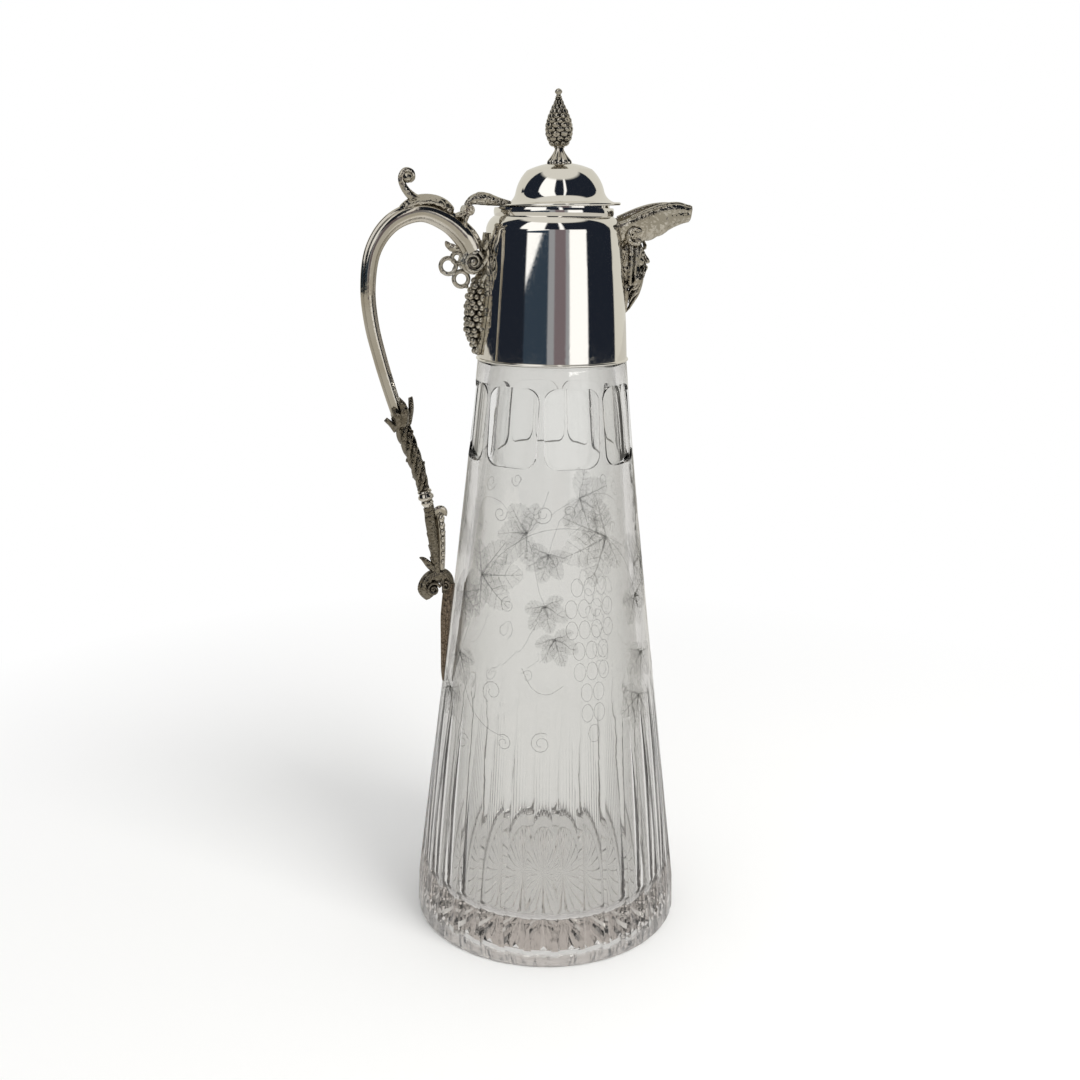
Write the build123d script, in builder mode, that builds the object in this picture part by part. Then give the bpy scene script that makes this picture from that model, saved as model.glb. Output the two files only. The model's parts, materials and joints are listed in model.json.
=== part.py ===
"""Claret jug: cut-glass body, plated mount with a masked spout, scroll handle and hinged lid.

Millimetres. The origin is the centre of the foot where the jug stands, +Z is up and
+X points to the spout, so the handle and the lid's hinge are on -X.
"""

import os
from math import atan2, cos, pi, radians, sin

from build123d import *

os.makedirs("parts", exist_ok=True)

# ---------------------------------------------------------------- driving dimensions
# Glass body
foot_radius = 51.4
foot_band_height = 13.0
foot_band_lean = 0.45  # how far the band leans in by its top
shoulder_height = 217.2
shoulder_radius = 27.0
waist = 0.8  # greatest hollow of the side below a straight cone
wall = 4.5
floor_height = 14.0
floor_radius = 43.4
floor_corner_width = 6.0
floor_corner_height = 7.0
neck_radius = 24.6
neck_height = 36.0
neck_taper = 2.2
neck_wall = 3.2
punt_radius = 38.0
punt_height = 1.2
edge_round = 1.2

# Cut decoration on the glass
flute_count = 32
flute_cutter_radius = 9.0
flute_depth_at_foot = 0.35
flute_top = 95.0
flute_overrun = 8.0
window_count = 8
window_width = 20.0
window_tall = 28.0
window_centre_height = 196.0
window_corner = 5.0
window_edge_depth = 0.5
star_points = 24
star_depth = 1.4
star_groove_width = 5.4

# Plated collar
seam = 0.2  # glass ledge to collar, filled by the bedding
collar_foot_radius = 27.05
collar_top_radius = 23.9
collar_cone_height = 44.6
collar_bow = 0.35
collar_shoulder_height = 5.5
collar_mouth_radius = 20.9
collar_wall = 0.8
collar_bead = 0.5
rim_height = 2.8
rim_swell = 0.25
solder = 0.03  # joint thickness between castings and what they sit on
bedding_clearance = 0.05
bedding_short = 5.0  # from the lip of the neck down to the bedding

# Pouring spout
spout_reach = 51.3
spout_wall = 0.9
spout_width = 17.0
spout_hole_width = 12.0
spout_hole_height = 7.6
spout_hole_drop = 1.2  # its centre below the collar's shoulder

# Handle
strap_width = 6.4
strap_depth = 5.1
handle_rest_gap = 0.35  # tail to glass
bracket_width = 14.0
bracket_thickness = 1.2
volute_radius = 4.3
volute_width = 7.0

# Lid and hinge
lid_forward = 2.2  # lid's axis ahead of the jug's axis
lid_lift = 1.6  # degrees by which the closed lid stands open at the front
lid_seat_gap = 0.1
flange_radius = 21.4
flange_thickness = 0.7
dome_radius = 15.6
dome_height = 14.6
lid_wall = 0.9
bezel_radius = 17.5
bezel_depth = 1.8
bezel_wall = 0.8
hinge_out = 3.95  # hinge axis beyond the collar's foot radius
hinge_drop = 1.1  # hinge axis below the top of the rim
knuckle_radius = 1.9
knuckle_length = 3.4
knuckle_side_gap = 0.3
lug_thickness = 1.6
pin_radius = 0.8
pin_fit = 0.05
pin_head_radius = 1.15
pin_head_length = 0.5

# Finial
finial_height = 39.0  # above the flange's underside
cone_radius = 5.45
cone_bottom = 19.9
cone_top = 34.6
foot_bell_radius = 4.4
stud_radius = 1.0
nut_across_flats = 4.6
nut_height = 1.8
washer_radius = 3.2
washer_thickness = 0.6
thread_clearance = 0.05
washer_seat = 0.25  # the dome curves down by this much at the washer's edge
stud_tail = 0.8  # stud past the nut

# ---------------------------------------------------------------- worked-out places
foot_band_radius = foot_radius - foot_band_lean
collar_foot = shoulder_height + seam
collar_cone_top = collar_foot + collar_cone_height
collar_top = collar_cone_top + collar_shoulder_height
rim_top = collar_top + rim_height
neck_top = shoulder_height + neck_height


def glass_radius(height):
    """Outside radius of the uncut glass between the foot band and the shoulder."""
    share = (height - foot_band_height) / (shoulder_height - foot_band_height)
    straight = foot_band_radius + share * (shoulder_radius - foot_band_radius)
    return straight - waist * 27 / 4 * share**2 * (1 - share)


def collar_radius(height):
    """Outside radius of the collar between its foot and its shoulder."""
    share = (height - collar_foot) / collar_cone_height
    straight = collar_foot_radius + share * (collar_top_radius - collar_foot_radius)
    return straight + collar_bow * 4 * share * (1 - share)


def on_handle(out, up):
    """Point in the handle's plane, measured out and up from the collar's foot."""
    return (-(collar_foot_radius + out), shoulder_height + up)


def beside_glass(gap, up):
    """Point in the handle's plane at a gap from the glass, up from its shoulder."""
    height = shoulder_height + up
    return (-(glass_radius(height) + gap), height)


def square_to(spine, at, across=(0, 1, 0)):
    """Plane across a spine that lies square to the given direction."""
    return Plane(origin=spine @ at, x_dir=across, z_dir=spine % at)


def ovals(spine, sizes, across=(0, 1, 0)):
    """Ovals evenly spaced along a spine, each given as (depth in its plane, width across)."""
    faces = []
    for step, (depth, width) in enumerate(sizes):
        with BuildSketch(square_to(spine, step / (len(sizes) - 1), across)) as section:
            Ellipse(width / 2, depth / 2)
        faces.append(section.sketch.faces()[0])
    return faces


def save(piece, name):
    """Labels a finished piece and writes it to its own file."""
    piece.label = name
    export_step(piece, f"parts/{name}.step")


# ---------------------------------------------------------------- glass body
side_heights = [foot_band_height + step * (shoulder_height - foot_band_height) / 6 for step in range(7)]
inner_heights = [62.0, 110.0, 160.0, shoulder_height - 4]
inner_neck_radius = neck_radius - neck_wall
mouth_radius = neck_radius - neck_taper

# long shallow groove, deepest near the foot and running out to a point
flute_slope = atan2(
    foot_radius - flute_depth_at_foot - glass_radius(flute_top),
    flute_top,
)
with BuildPart() as flute_cutter:
    with BuildSketch(
        Plane(
            origin=(foot_radius - flute_depth_at_foot + flute_cutter_radius, 0, 0),
            x_dir=(0, 1, 0),
            z_dir=(-sin(flute_slope), 0, cos(flute_slope)),
        )
    ):
        Circle(flute_cutter_radius)
    extrude(amount=flute_top + flute_overrun)
    extrude(flute_cutter.faces().sort_by(Axis.Z)[0], amount=flute_overrun)

# flat panel with rounded corners, square to the side of the glass
window_foot = window_centre_height - window_tall / 2
window_lean = atan2(
    glass_radius(window_foot) - glass_radius(window_foot + window_tall),
    window_tall,
)
window_radius = glass_radius(window_centre_height)
window_depth = window_radius - (window_radius**2 - window_width**2 / 4) ** 0.5 + window_edge_depth
with BuildPart() as window_cutter:
    with BuildSketch(
        Plane(
            origin=(window_radius - window_depth, 0, window_centre_height),
            x_dir=(0, 1, 0),
            z_dir=(cos(window_lean), 0, sin(window_lean)),
        )
    ):
        RectangleRounded(window_width, window_tall, window_corner)
    extrude(amount=window_depth * 3)

# one ray of the star under the foot: a V groove that deepens outwards
star_lean = atan2(star_depth, punt_radius)
with BuildPart() as star_cutter:
    with BuildSketch(
        Plane(
            origin=(0, 0, punt_height),
            x_dir=(0, 1, 0),
            z_dir=(cos(star_lean), 0, sin(star_lean)),
        )
    ):
        with BuildLine():
            Polyline(
                (-star_groove_width / 2, -star_depth * 1.2),
                (star_groove_width / 2, -star_depth * 1.2),
                (0, 0),
                close=True,
            )
        make_face()
    extrude(amount=punt_radius - 1)

with BuildPart() as glass_body:
    with BuildSketch(Plane.XZ):
        with BuildLine():
            Polyline(
                (0, floor_height),
                (0, punt_height),
                (punt_radius, punt_height),
                (punt_radius + punt_height, 0),
                (foot_radius - edge_round, 0),
            )
            RadiusArc((foot_radius - edge_round, 0), (foot_radius, edge_round), -edge_round)
            Line((foot_radius, edge_round), (foot_band_radius, foot_band_height))
            Spline([(glass_radius(height), height) for height in side_heights])
            Polyline(
                (glass_radius(shoulder_height), shoulder_height),
                (neck_radius, shoulder_height),
                (mouth_radius, neck_top),
            )
            ThreePointArc(
                (mouth_radius, neck_top),
                (mouth_radius - neck_wall / 2, neck_top + 1.2),
                (mouth_radius - neck_wall, neck_top),
            )
            Line((mouth_radius - neck_wall, neck_top), (inner_neck_radius, shoulder_height + 2))
            Spline(
                [(inner_neck_radius, shoulder_height + 2)]
                + [(glass_radius(height) - wall, height) for height in reversed(inner_heights)]
                + [(floor_radius, floor_height + floor_corner_height)]
            )
            ThreePointArc(
                (floor_radius, floor_height + floor_corner_height),
                (floor_radius - 1.6, floor_height + 1.8),
                (floor_radius - floor_corner_width, floor_height),
            )
            Line((floor_radius - floor_corner_width, floor_height), (0, floor_height))
        make_face()
    revolve(axis=Axis.Z)
    with PolarLocations(0, flute_count, start_angle=180 / flute_count):
        add(flute_cutter.part, mode=Mode.SUBTRACT)
    with PolarLocations(0, window_count):
        add(window_cutter.part, mode=Mode.SUBTRACT)
    with PolarLocations(0, star_points):
        add(star_cutter.part, mode=Mode.SUBTRACT)
save(glass_body.part, "glass_body")


# ---------------------------------------------------------------- collar and its rim
def collar_side(extra, top=collar_cone_top):
    """Side of the collar from its foot up, moved out by an extra thickness."""
    heights = [collar_foot + step * (top - collar_foot) / 4 for step in range(5)]
    return [(collar_radius(height) + extra, height) for height in heights]


def collar_shoulder(extra):
    """Ends and middle of the round shoulder above the cone, moved out by a thickness."""
    top_radius = collar_radius(collar_cone_top) + extra
    mouth = collar_mouth_radius + extra
    middle = (mouth + 0.72 * (top_radius - mouth), collar_cone_top + 0.6 * collar_shoulder_height)
    return (top_radius, collar_cone_top), middle, (mouth, collar_top)


spout_hole_height_centre = collar_cone_top - spout_hole_drop
with BuildPart() as collar:
    with BuildSketch(Plane.XZ):
        with BuildLine():
            Spline(collar_side(0))
            ThreePointArc(*collar_shoulder(0))
            Line(collar_shoulder(0)[2], collar_shoulder(-collar_wall)[2])
            ThreePointArc(*collar_shoulder(-collar_wall))
            Spline(collar_side(-collar_wall))
            Line(collar_side(-collar_wall)[0], collar_side(0)[0])
        make_face()
        with Locations((collar_foot_radius, collar_foot + collar_bead)):
            Circle(collar_bead)
    revolve(axis=Axis.Z)
    with BuildSketch(Plane.YZ):
        with Locations((0, spout_hole_height_centre)):
            Ellipse(spout_hole_width / 2, spout_hole_height / 2)
    extrude(amount=collar_foot_radius * 2, mode=Mode.SUBTRACT)
save(collar.part, "collar")

with BuildPart() as collar_rim:
    with BuildSketch(Plane.XZ):
        with BuildLine():
            Polyline(
                (collar_mouth_radius - collar_wall, rim_top),
                (collar_mouth_radius - collar_wall, collar_top),
                (collar_mouth_radius, collar_top),
            )
            ThreePointArc(
                (collar_mouth_radius, collar_top),
                (collar_mouth_radius + rim_swell, (collar_top + rim_top) / 2),
                (collar_mouth_radius, rim_top),
            )
            Line((collar_mouth_radius, rim_top), (collar_mouth_radius - collar_wall, rim_top))
        make_face()
    revolve(axis=Axis.Z)
save(collar_rim.part, "collar_rim")

# everything that castings soldered to the mount have to be cut away from
with BuildPart() as mount_envelope:
    with BuildSketch(Plane.XZ):
        with BuildLine():
            Polyline((0, rim_top), (0, collar_foot), collar_side(solder)[0])
            Spline(collar_side(solder))
            ThreePointArc(*collar_shoulder(solder))
            Polyline(
                collar_shoulder(solder)[2],
                (collar_mouth_radius + rim_swell + solder, collar_top),
                (collar_mouth_radius + rim_swell + solder, rim_top),
                (0, rim_top),
            )
        make_face()
    revolve(axis=Axis.Z)

# plaster that fills the space between the neck and the collar
bedding_top = neck_top - bedding_short
neck_radius_at_bedding_top = neck_radius - neck_taper * (bedding_top - shoulder_height) / neck_height
with BuildPart() as plaster_bedding:
    with BuildSketch(Plane.XZ):
        with BuildLine():
            bedding_side = collar_side(-collar_wall - bedding_clearance, bedding_top)
            Polyline(
                bedding_side[0],
                (bedding_side[0][0], shoulder_height),
                (neck_radius + bedding_clearance, shoulder_height),
                (neck_radius_at_bedding_top + bedding_clearance, bedding_top),
                bedding_side[-1],
            )
            Spline(bedding_side)
        make_face()
    revolve(axis=Axis.Z)
save(plaster_bedding.part, "plaster_bedding")


# ---------------------------------------------------------------- pouring spout
# share of the way out, rim above the mount's rim, depth, share of the full width
spout_stations = [
    (-0.10, -4.7, 10.0, 1.0),
    (0.12, -2.6, 10.5, 0.98),
    (0.34, -0.3, 11.0, 0.92),
    (0.56, 1.4, 10.6, 0.82),
    (0.78, 1.9, 7.8, 0.66),
    (1.0, -1.5, 1.4, 0.22),
]
spout_length = spout_reach - collar_top_radius


def spout_sections(thickness, raised, overrun):
    """Cup-shaped cross sections of the spout, drawn in by a wall and raised at the rim."""
    faces = []
    stations = list(spout_stations)
    if overrun:
        stations.append((stations[-1][0] + overrun, *stations[-1][1:]))
    for share, rim_up, depth, width_share in stations:
        half = spout_width * width_share / 2 - thickness
        deep = depth - thickness
        rim_plane = Plane(
            origin=(collar_top_radius + share * spout_length, 0, rim_top + rim_up),
            x_dir=(0, 1, 0),
            z_dir=(1, 0, 0),
        )
        with BuildSketch(rim_plane) as section:
            with BuildLine():
                EllipticalCenterArc((0, 0), half, deep, start_angle=180, arc_size=180)
                Polyline((half, 0), (half, raised), (-half, raised), (-half, 0))
            make_face()
        faces.append(section.sketch.faces()[0])
    return faces


spout_form_sections = spout_sections(thickness=0, raised=0.3, overrun=0)
spout_channel_sections = spout_sections(thickness=spout_wall, raised=5, overrun=0.06)
with BuildPart() as spout_form:
    loft(spout_form_sections)
    add(mount_envelope.part, mode=Mode.SUBTRACT)

with BuildPart() as spout_channel:
    loft(spout_channel_sections)

with BuildPart() as spout_trough:
    add(spout_form.part)
    add(spout_channel.part, mode=Mode.SUBTRACT)
save(spout_trough.part, "spout_trough")

# mask under the spout: depth out from the collar and half width, evenly spaced downwards
mask_top_up = -9.5
mask_step = 4.5
mask_sizes = [(10.6, 6.3), (10.8, 6.5), (9.6, 6.1), (7.4, 5.3), (6.2, 4.2), (4.4, 3.1), (2.6, 1.9)]
mask_root_depth = 2.0
nose_half_width = 0.9
mask_sections = []
for step, (mask_depth, mask_half) in enumerate(mask_sizes):
    mask_height = rim_top + mask_top_up - step * mask_step
    with BuildSketch(Plane.XY.offset(mask_height)) as mask_section:
        with Locations((collar_radius(mask_height) - mask_root_depth, 0)):
            Ellipse(mask_depth + mask_root_depth, mask_half)
    mask_sections.append(mask_section.sketch.faces()[0])


def on_mask(out, across, up):
    """Point out from the collar, across the mask and up from the mount's rim."""
    return (collar_radius(rim_top + up) + out, across, rim_top + up)


# brow, moustache and beard locks are tapered ridges that follow their own spines
mask_ridges = []
for side in (1, -1):
    with BuildLine() as brow_line:
        Spline(
            on_mask(11.0, side * 0.3, -14.4),
            on_mask(10.6, side * 2.4, -13.2),
            on_mask(8.2, side * 5.0, -14.6),
        )
    mask_ridges.append(ovals(brow_line.line, [(1.7, 1.5), (1.6, 1.8), (0.7, 0.9)], (1, 0, 0)))
    with BuildLine() as moustache_line:
        Spline(
            on_mask(9.4, side * 0.2, -19.9),
            on_mask(8.9, side * 2.6, -20.6),
            on_mask(6.6, side * 4.9, -23.4),
        )
    mask_ridges.append(ovals(moustache_line.line, [(1.5, 1.7), (1.9, 2.0), (0.6, 0.9)], (1, 0, 0)))
for lock_across, lock_foot in ((0, -36.2), (1.9, -34.4), (-1.9, -34.4), (3.7, -31.2), (-3.7, -31.2)):
    lock_out = 6.9 - 0.16 * lock_across**2
    with BuildLine() as lock_line:
        Spline(
            on_mask(lock_out, lock_across, -22.4),
            on_mask(lock_out * 0.84, lock_across * 0.84, (lock_foot - 22.4) / 2),
            on_mask(lock_out * 0.28, lock_across * 0.36, lock_foot),
        )
    mask_ridges.append(ovals(lock_line.line, [(1.5, 1.5), (2.0, 2.0), (0.8, 0.8)]))

with BuildPart() as spout_mask:
    loft(mask_sections)
    for ridge in mask_ridges:
        loft(ridge)
    with BuildSketch(Plane.XZ):
        with BuildLine():
            Polyline(
                on_mask(8.0, 0, -12.4)[::2],
                on_mask(11.0, 0, -13.9)[::2],
                on_mask(11.6, 0, -18.2)[::2],
                on_mask(10.4, 0, -19.3)[::2],
                on_mask(6.0, 0, -19.3)[::2],
                close=True,
            )
        make_face()
    extrude(amount=nose_half_width, both=True)
    with Locations(on_mask(9.3, 2.3, -15.7), on_mask(9.3, -2.3, -15.7)):
        Sphere(1.0)
    add(mount_envelope.part, mode=Mode.SUBTRACT)
    add(spout_form.part, mode=Mode.SUBTRACT)
save(spout_mask.part, "spout_mask")

# C scrolls that hide the joint on both sides of the spout
side_scroll_radius = 2.4
side_scroll_wire = 0.85
side_scroll_centre = (collar_top_radius + 3.9, spout_width / 2 - 0.6, rim_top - 9.4)
with BuildPart() as spout_scrolls:
    for side in (1, -1):
        with BuildSketch(
            Plane(
                origin=(side_scroll_centre[0], side * side_scroll_centre[1], side_scroll_centre[2]),
                x_dir=(1, 0, 0),
                z_dir=(0, -1, 0),
            )
        ):
            Circle(side_scroll_radius + side_scroll_wire)
            Circle(side_scroll_radius - side_scroll_wire, mode=Mode.SUBTRACT)
            with BuildLine():
                Polyline(
                    (0, 0),
                    (side_scroll_radius * 2, side_scroll_radius * 1.2),
                    (side_scroll_radius * 2, -side_scroll_radius * 1.2),
                    close=True,
                )
            make_face(mode=Mode.SUBTRACT)
        extrude(amount=side_scroll_wire, both=True)
    add(mount_envelope.part, mode=Mode.SUBTRACT)
    add(spout_form.part, mode=Mode.SUBTRACT)
    add(spout_mask.part, mode=Mode.SUBTRACT)
save(spout_scrolls.part, "spout_scrolls")


# ---------------------------------------------------------------- handle root on the collar
bracket_foot_up = 2.4  # above the glass shoulder
bracket_top_up = 44.4
with BuildPart() as handle_bracket:
    with BuildSketch(Plane.XZ):
        with BuildLine():
            plate_inside = collar_side(solder)
            plate_outside = collar_side(solder + bracket_thickness)
            Spline(plate_inside)
            Spline(plate_outside)
            Line(plate_inside[0], plate_outside[0])
            Line(plate_inside[-1], plate_outside[-1])
        make_face()
    revolve(axis=Axis.Z)
    with BuildSketch(Plane.YZ):
        with BuildLine():
            bracket_half = bracket_width / 2
            bracket_foot = shoulder_height + bracket_foot_up
            bracket_top = shoulder_height + bracket_top_up
            Spline(
                (0, bracket_foot),
                (bracket_half * 0.42, bracket_foot + 1.4),
                (bracket_half * 0.72, bracket_foot + 7),
                (bracket_half, bracket_foot + 18),
                (bracket_half * 0.85, bracket_top - 8),
                (0, bracket_top),
            )
            Spline(
                (0, bracket_foot),
                (-bracket_half * 0.42, bracket_foot + 1.4),
                (-bracket_half * 0.72, bracket_foot + 7),
                (-bracket_half, bracket_foot + 18),
                (-bracket_half * 0.85, bracket_top - 8),
                (0, bracket_top),
            )
        make_face()
    extrude(amount=-collar_foot_radius * 2, mode=Mode.INTERSECT)
save(handle_bracket.part, "handle_bracket")

# bunch of grapes hanging below the volute, on a core that tapers outwards
drop_top_up = 30.0
drop_foot_up = 3.6
drop_half = 5.0
drop_core_depth = 3.4
drop_taper = 22
drop_lean = atan2(
    collar_radius(shoulder_height + drop_foot_up) - collar_radius(shoulder_height + drop_top_up),
    drop_top_up - drop_foot_up,
)
drop_tall = drop_top_up - drop_foot_up
# seen from behind the handle: x across, y up the collar's side
drop_plane = Plane(
    origin=(-collar_radius(shoulder_height + drop_foot_up), 0, shoulder_height + drop_foot_up),
    x_dir=(0, -1, 0),
    z_dir=(-cos(drop_lean), 0, sin(drop_lean)),
)
grape_radius = 1.8
grape_sides = 8
grape_rows = [(2.0, 1), (4.4, 2), (7.2, 3), (10.4, 4), (13.6, 5), (16.8, 4), (20.0, 5), (23.2, 4), (25.8, 3)]
with BuildPart() as grape:
    with BuildSketch():
        RegularPolygon(grape_radius, grape_sides)
    extrude(amount=-1.2)
    extrude(grape.faces().sort_by(Axis.Z)[-1], amount=grape_radius * 0.3)
    extrude(grape.faces().sort_by(Axis.Z)[-1], amount=grape_radius * 0.35, taper=28)
    extrude(grape.faces().sort_by(Axis.Z)[-1], amount=grape_radius * 0.2, taper=58)

with BuildPart() as grape_drop:
    with BuildSketch(drop_plane.offset(-0.9)):
        with BuildLine():
            Polyline(
                (0, 0),
                (drop_half * 0.55, drop_tall * 0.22),
                (drop_half, drop_tall * 0.55),
                (drop_half, drop_tall * 0.85),
                (drop_half * 0.6, drop_tall),
                (-drop_half * 0.6, drop_tall),
                (-drop_half, drop_tall * 0.85),
                (-drop_half, drop_tall * 0.55),
                (-drop_half * 0.55, drop_tall * 0.22),
                close=True,
            )
        make_face()
    extrude(amount=drop_core_depth + 0.9, taper=drop_taper)
    for row_up, row_count in grape_rows:
        row_half = 1.0 + (drop_half - 1.0) * min(1, row_up / (drop_tall * 0.5))
        for place in range(row_count):
            share = (place + 0.5) / row_count * 2 - 1
            out = 1.9 + (drop_core_depth - 1.4) * min(1, row_up / 12) * (1 - 0.45 * share**2)
            with Locations(drop_plane):
                with Locations((share * row_half, row_up, out)):
                    add(grape.part)
    add(handle_bracket.part, mode=Mode.SUBTRACT)
    add(mount_envelope.part, mode=Mode.SUBTRACT)
save(grape_drop.part, "grape_drop")

# volute that the strap runs into
volute_centre = on_handle(2.55, 34.6)
volute_face = 0.7  # recess inside the raised edge
volute_edge = 0.9
volute_boss_radius = 1.6
with BuildPart() as handle_volute:
    with BuildSketch(Plane.XZ):
        with Locations(volute_centre):
            Circle(volute_radius)
    extrude(amount=volute_width / 2, both=True)
    for side in (1, -1):
        with BuildSketch(Plane.XZ.offset(side * volute_width / 2)):
            with Locations(volute_centre):
                Circle(volute_radius - volute_edge)
                Circle(volute_boss_radius, mode=Mode.SUBTRACT)
        extrude(amount=-side * volute_face, mode=Mode.SUBTRACT)
        with Locations((volute_centre[0], -side * (volute_width / 2 - 0.3), volute_centre[1])):
            Sphere(volute_boss_radius)
    add(handle_bracket.part, mode=Mode.SUBTRACT)
    add(mount_envelope.part, mode=Mode.SUBTRACT)
    add(grape_drop.part, mode=Mode.SUBTRACT)
save(handle_volute.part, "handle_volute")


# ---------------------------------------------------------------- handle strap
with BuildLine(Plane.XZ) as strap_spine:
    Spline(
        on_handle(29.4, -18.6),
        on_handle(32.4, -9.0),
        on_handle(35.3, 1.4),
        on_handle(38.0, 13.4),
        on_handle(38.95, 25.8),
        on_handle(36.9, 38.3),
        on_handle(30.4, 47.4),
        on_handle(20.4, 51.3),
        on_handle(11.0, 48.2),
        on_handle(4.7, 42.6),
        on_handle(3.0, 37.4),
    )
strap_sizes = [
    (0.92, 0.78),
    (0.94, 0.8),
    (0.96, 0.84),
    (1.0, 0.88),
    (1.04, 0.94),
    (1.12, 1.0),
    (1.26, 1.0),
    (1.36, 1.0),
    (1.46, 1.0),
    (1.64, 1.0),
    (1.6, 1.0),
]
strap_sections = ovals(
    strap_spine.line,
    [(strap_depth * deep, strap_width * wide) for deep, wide in strap_sizes],
)
with BuildPart() as handle_scroll:
    loft(strap_sections)
    with BuildSketch(Plane.XZ):
        with Locations(volute_centre):
            Circle(volute_radius)
    extrude(amount=strap_width, both=True, mode=Mode.SUBTRACT)
    add(handle_bracket.part, mode=Mode.SUBTRACT)
save(handle_scroll.part, "handle_scroll")

# three rings of vine tendril in the corner between strap and volute
tendril_wire = 0.7
tendril_rings = [(on_handle(10.85, 33.1), 2.7), (on_handle(6.35, 28.7), 2.6), (on_handle(7.75, 35.9), 1.9)]
with BuildPart() as vine_rings:
    for (ring_x, ring_z), ring_radius in tendril_rings:
        with BuildSketch(Plane.XZ):
            with Locations((ring_x, ring_z)):
                Circle(ring_radius + tendril_wire)
        extrude(amount=tendril_wire * 1.2, both=True)
    for (ring_x, ring_z), ring_radius in tendril_rings:
        with BuildSketch(Plane.XZ.offset(tendril_wire * 2)):
            with Locations((ring_x, ring_z)):
                Circle(ring_radius - tendril_wire)
        extrude(amount=-tendril_wire * 4, mode=Mode.SUBTRACT)
    with BuildSketch(Plane.XZ):
        with BuildLine():
            Spline(on_handle(5.6, 38.4), on_handle(9.6, 38.4), on_handle(11.4, 41.4))
            Spline(on_handle(5.6, 38.4), on_handle(7.4, 40.6), on_handle(11.4, 41.4))
        make_face()
    extrude(amount=tendril_wire, both=True)
    add(handle_volute.part, mode=Mode.SUBTRACT)
    add(handle_scroll.part, mode=Mode.SUBTRACT)
    add(grape_drop.part, mode=Mode.SUBTRACT)
save(vine_rings.part, "vine_rings")

# leaf laid along the top of the strap
with BuildLine(Plane.XZ) as crest_spine:
    Spline(
        on_handle(26.6, 52.3),
        on_handle(22.9, 54.4),
        on_handle(18.5, 55.6),
        on_handle(13.7, 54.9),
        on_handle(10.0, 53.2),
        on_handle(7.5, 51.2),
    )
crest_sections = ovals(
    crest_spine.line,
    [(1.2, 3.2), (3.0, 5.2), (3.8, 6.2), (3.8, 6.2), (3.2, 5.4), (1.6, 3.6)],
)
with BuildPart() as handle_crest:
    loft(crest_sections)
    add(handle_scroll.part, mode=Mode.SUBTRACT)
save(handle_crest.part, "handle_crest")

# thumb piece: a stem that curls over into a bud
with BuildLine(Plane.XZ) as thumb_spine:
    Spline(
        on_handle(21.2, 55.4),
        on_handle(24.0, 57.4),
        on_handle(25.9, 60.0),
        on_handle(26.6, 62.8),
        on_handle(25.0, 64.8),
        on_handle(23.0, 64.0),
        on_handle(23.0, 61.9),
    )
thumb_sections = ovals(
    thumb_spine.line,
    [(2.4, 3.4), (2.0, 3.0), (1.8, 2.8), (1.7, 2.6), (1.5, 2.4), (1.4, 2.4), (1.2, 2.4)],
)
thumb_bud = on_handle(24.7, 62.4)
with BuildPart() as thumb_scroll:
    loft(thumb_sections)
    with Locations((thumb_bud[0], 0, thumb_bud[1])):
        Sphere(1.75)
    add(handle_scroll.part, mode=Mode.SUBTRACT)
    add(handle_crest.part, mode=Mode.SUBTRACT)
save(thumb_scroll.part, "thumb_scroll")


# ---------------------------------------------------------------- lower handle
with BuildLine(Plane.XZ) as shaft_spine:
    Spline(
        on_handle(29.4, -18.6),
        on_handle(27.5, -24.7),
        on_handle(25.85, -29.1),
        on_handle(24.2, -33.6),
        on_handle(22.7, -38.1),
        on_handle(21.5, -42.6),
        on_handle(20.5, -46.4),
    )
shaft_sections = ovals(
    shaft_spine.line,
    [(6.6, 6.2), (7.2, 6.6), (7.0, 6.4), (6.7, 6.2), (6.3, 6.0), (5.6, 5.4), (4.8, 4.8)],
)
with BuildPart() as handle_shaft:
    loft(shaft_sections)
    add(handle_scroll.part, mode=Mode.SUBTRACT)
save(handle_shaft.part, "handle_shaft")

# cup of two leaves that the strap grows out of
with BuildPart() as handle_calyx:
    with BuildSketch(Plane.XZ):
        with BuildLine():
            Spline(on_handle(31.0, -24.6), on_handle(32.2, -21.8), on_handle(33.9, -20.3))
            Spline(on_handle(33.9, -20.3), on_handle(31.4, -20.5), on_handle(29.6, -18.6))
            Spline(on_handle(29.6, -18.6), on_handle(27.4, -16.2), on_handle(24.9, -12.5))
            Spline(on_handle(24.9, -12.5), on_handle(24.9, -17.4), on_handle(24.3, -24.6))
            Line(on_handle(24.3, -24.6), on_handle(31.0, -24.6))
        make_face()
    extrude(amount=strap_width * 0.56, both=True)
    add(handle_scroll.part, mode=Mode.SUBTRACT)
    add(handle_shaft.part, mode=Mode.SUBTRACT)
save(handle_calyx.part, "handle_calyx")

# turned knop below the shaft
knop_radius = 2.9
knop_neck_radius = 2.3
knop_length = 6.0
knop_plane = square_to(shaft_spine.line, 1)
knop_side = Plane(origin=knop_plane.origin, x_dir=knop_plane.x_dir, z_dir=-knop_plane.y_dir)
with BuildPart() as handle_knop:
    with BuildSketch(knop_side):
        with BuildLine():
            Polyline((0, 0), (knop_neck_radius, 0), (knop_neck_radius, 1.2))
            ThreePointArc((knop_neck_radius, 1.2), (knop_radius, 2.5), (knop_neck_radius, 3.8))
            Polyline(
                (knop_neck_radius, 3.8),
                (knop_neck_radius - 0.3, 4.2),
                (knop_neck_radius - 0.1, knop_length),
                (0, knop_length),
                (0, 0),
            )
        make_face()
    revolve(axis=Axis(knop_plane.origin, knop_plane.z_dir))
    add(handle_shaft.part, mode=Mode.SUBTRACT)
save(handle_knop.part, "handle_knop")

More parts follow.
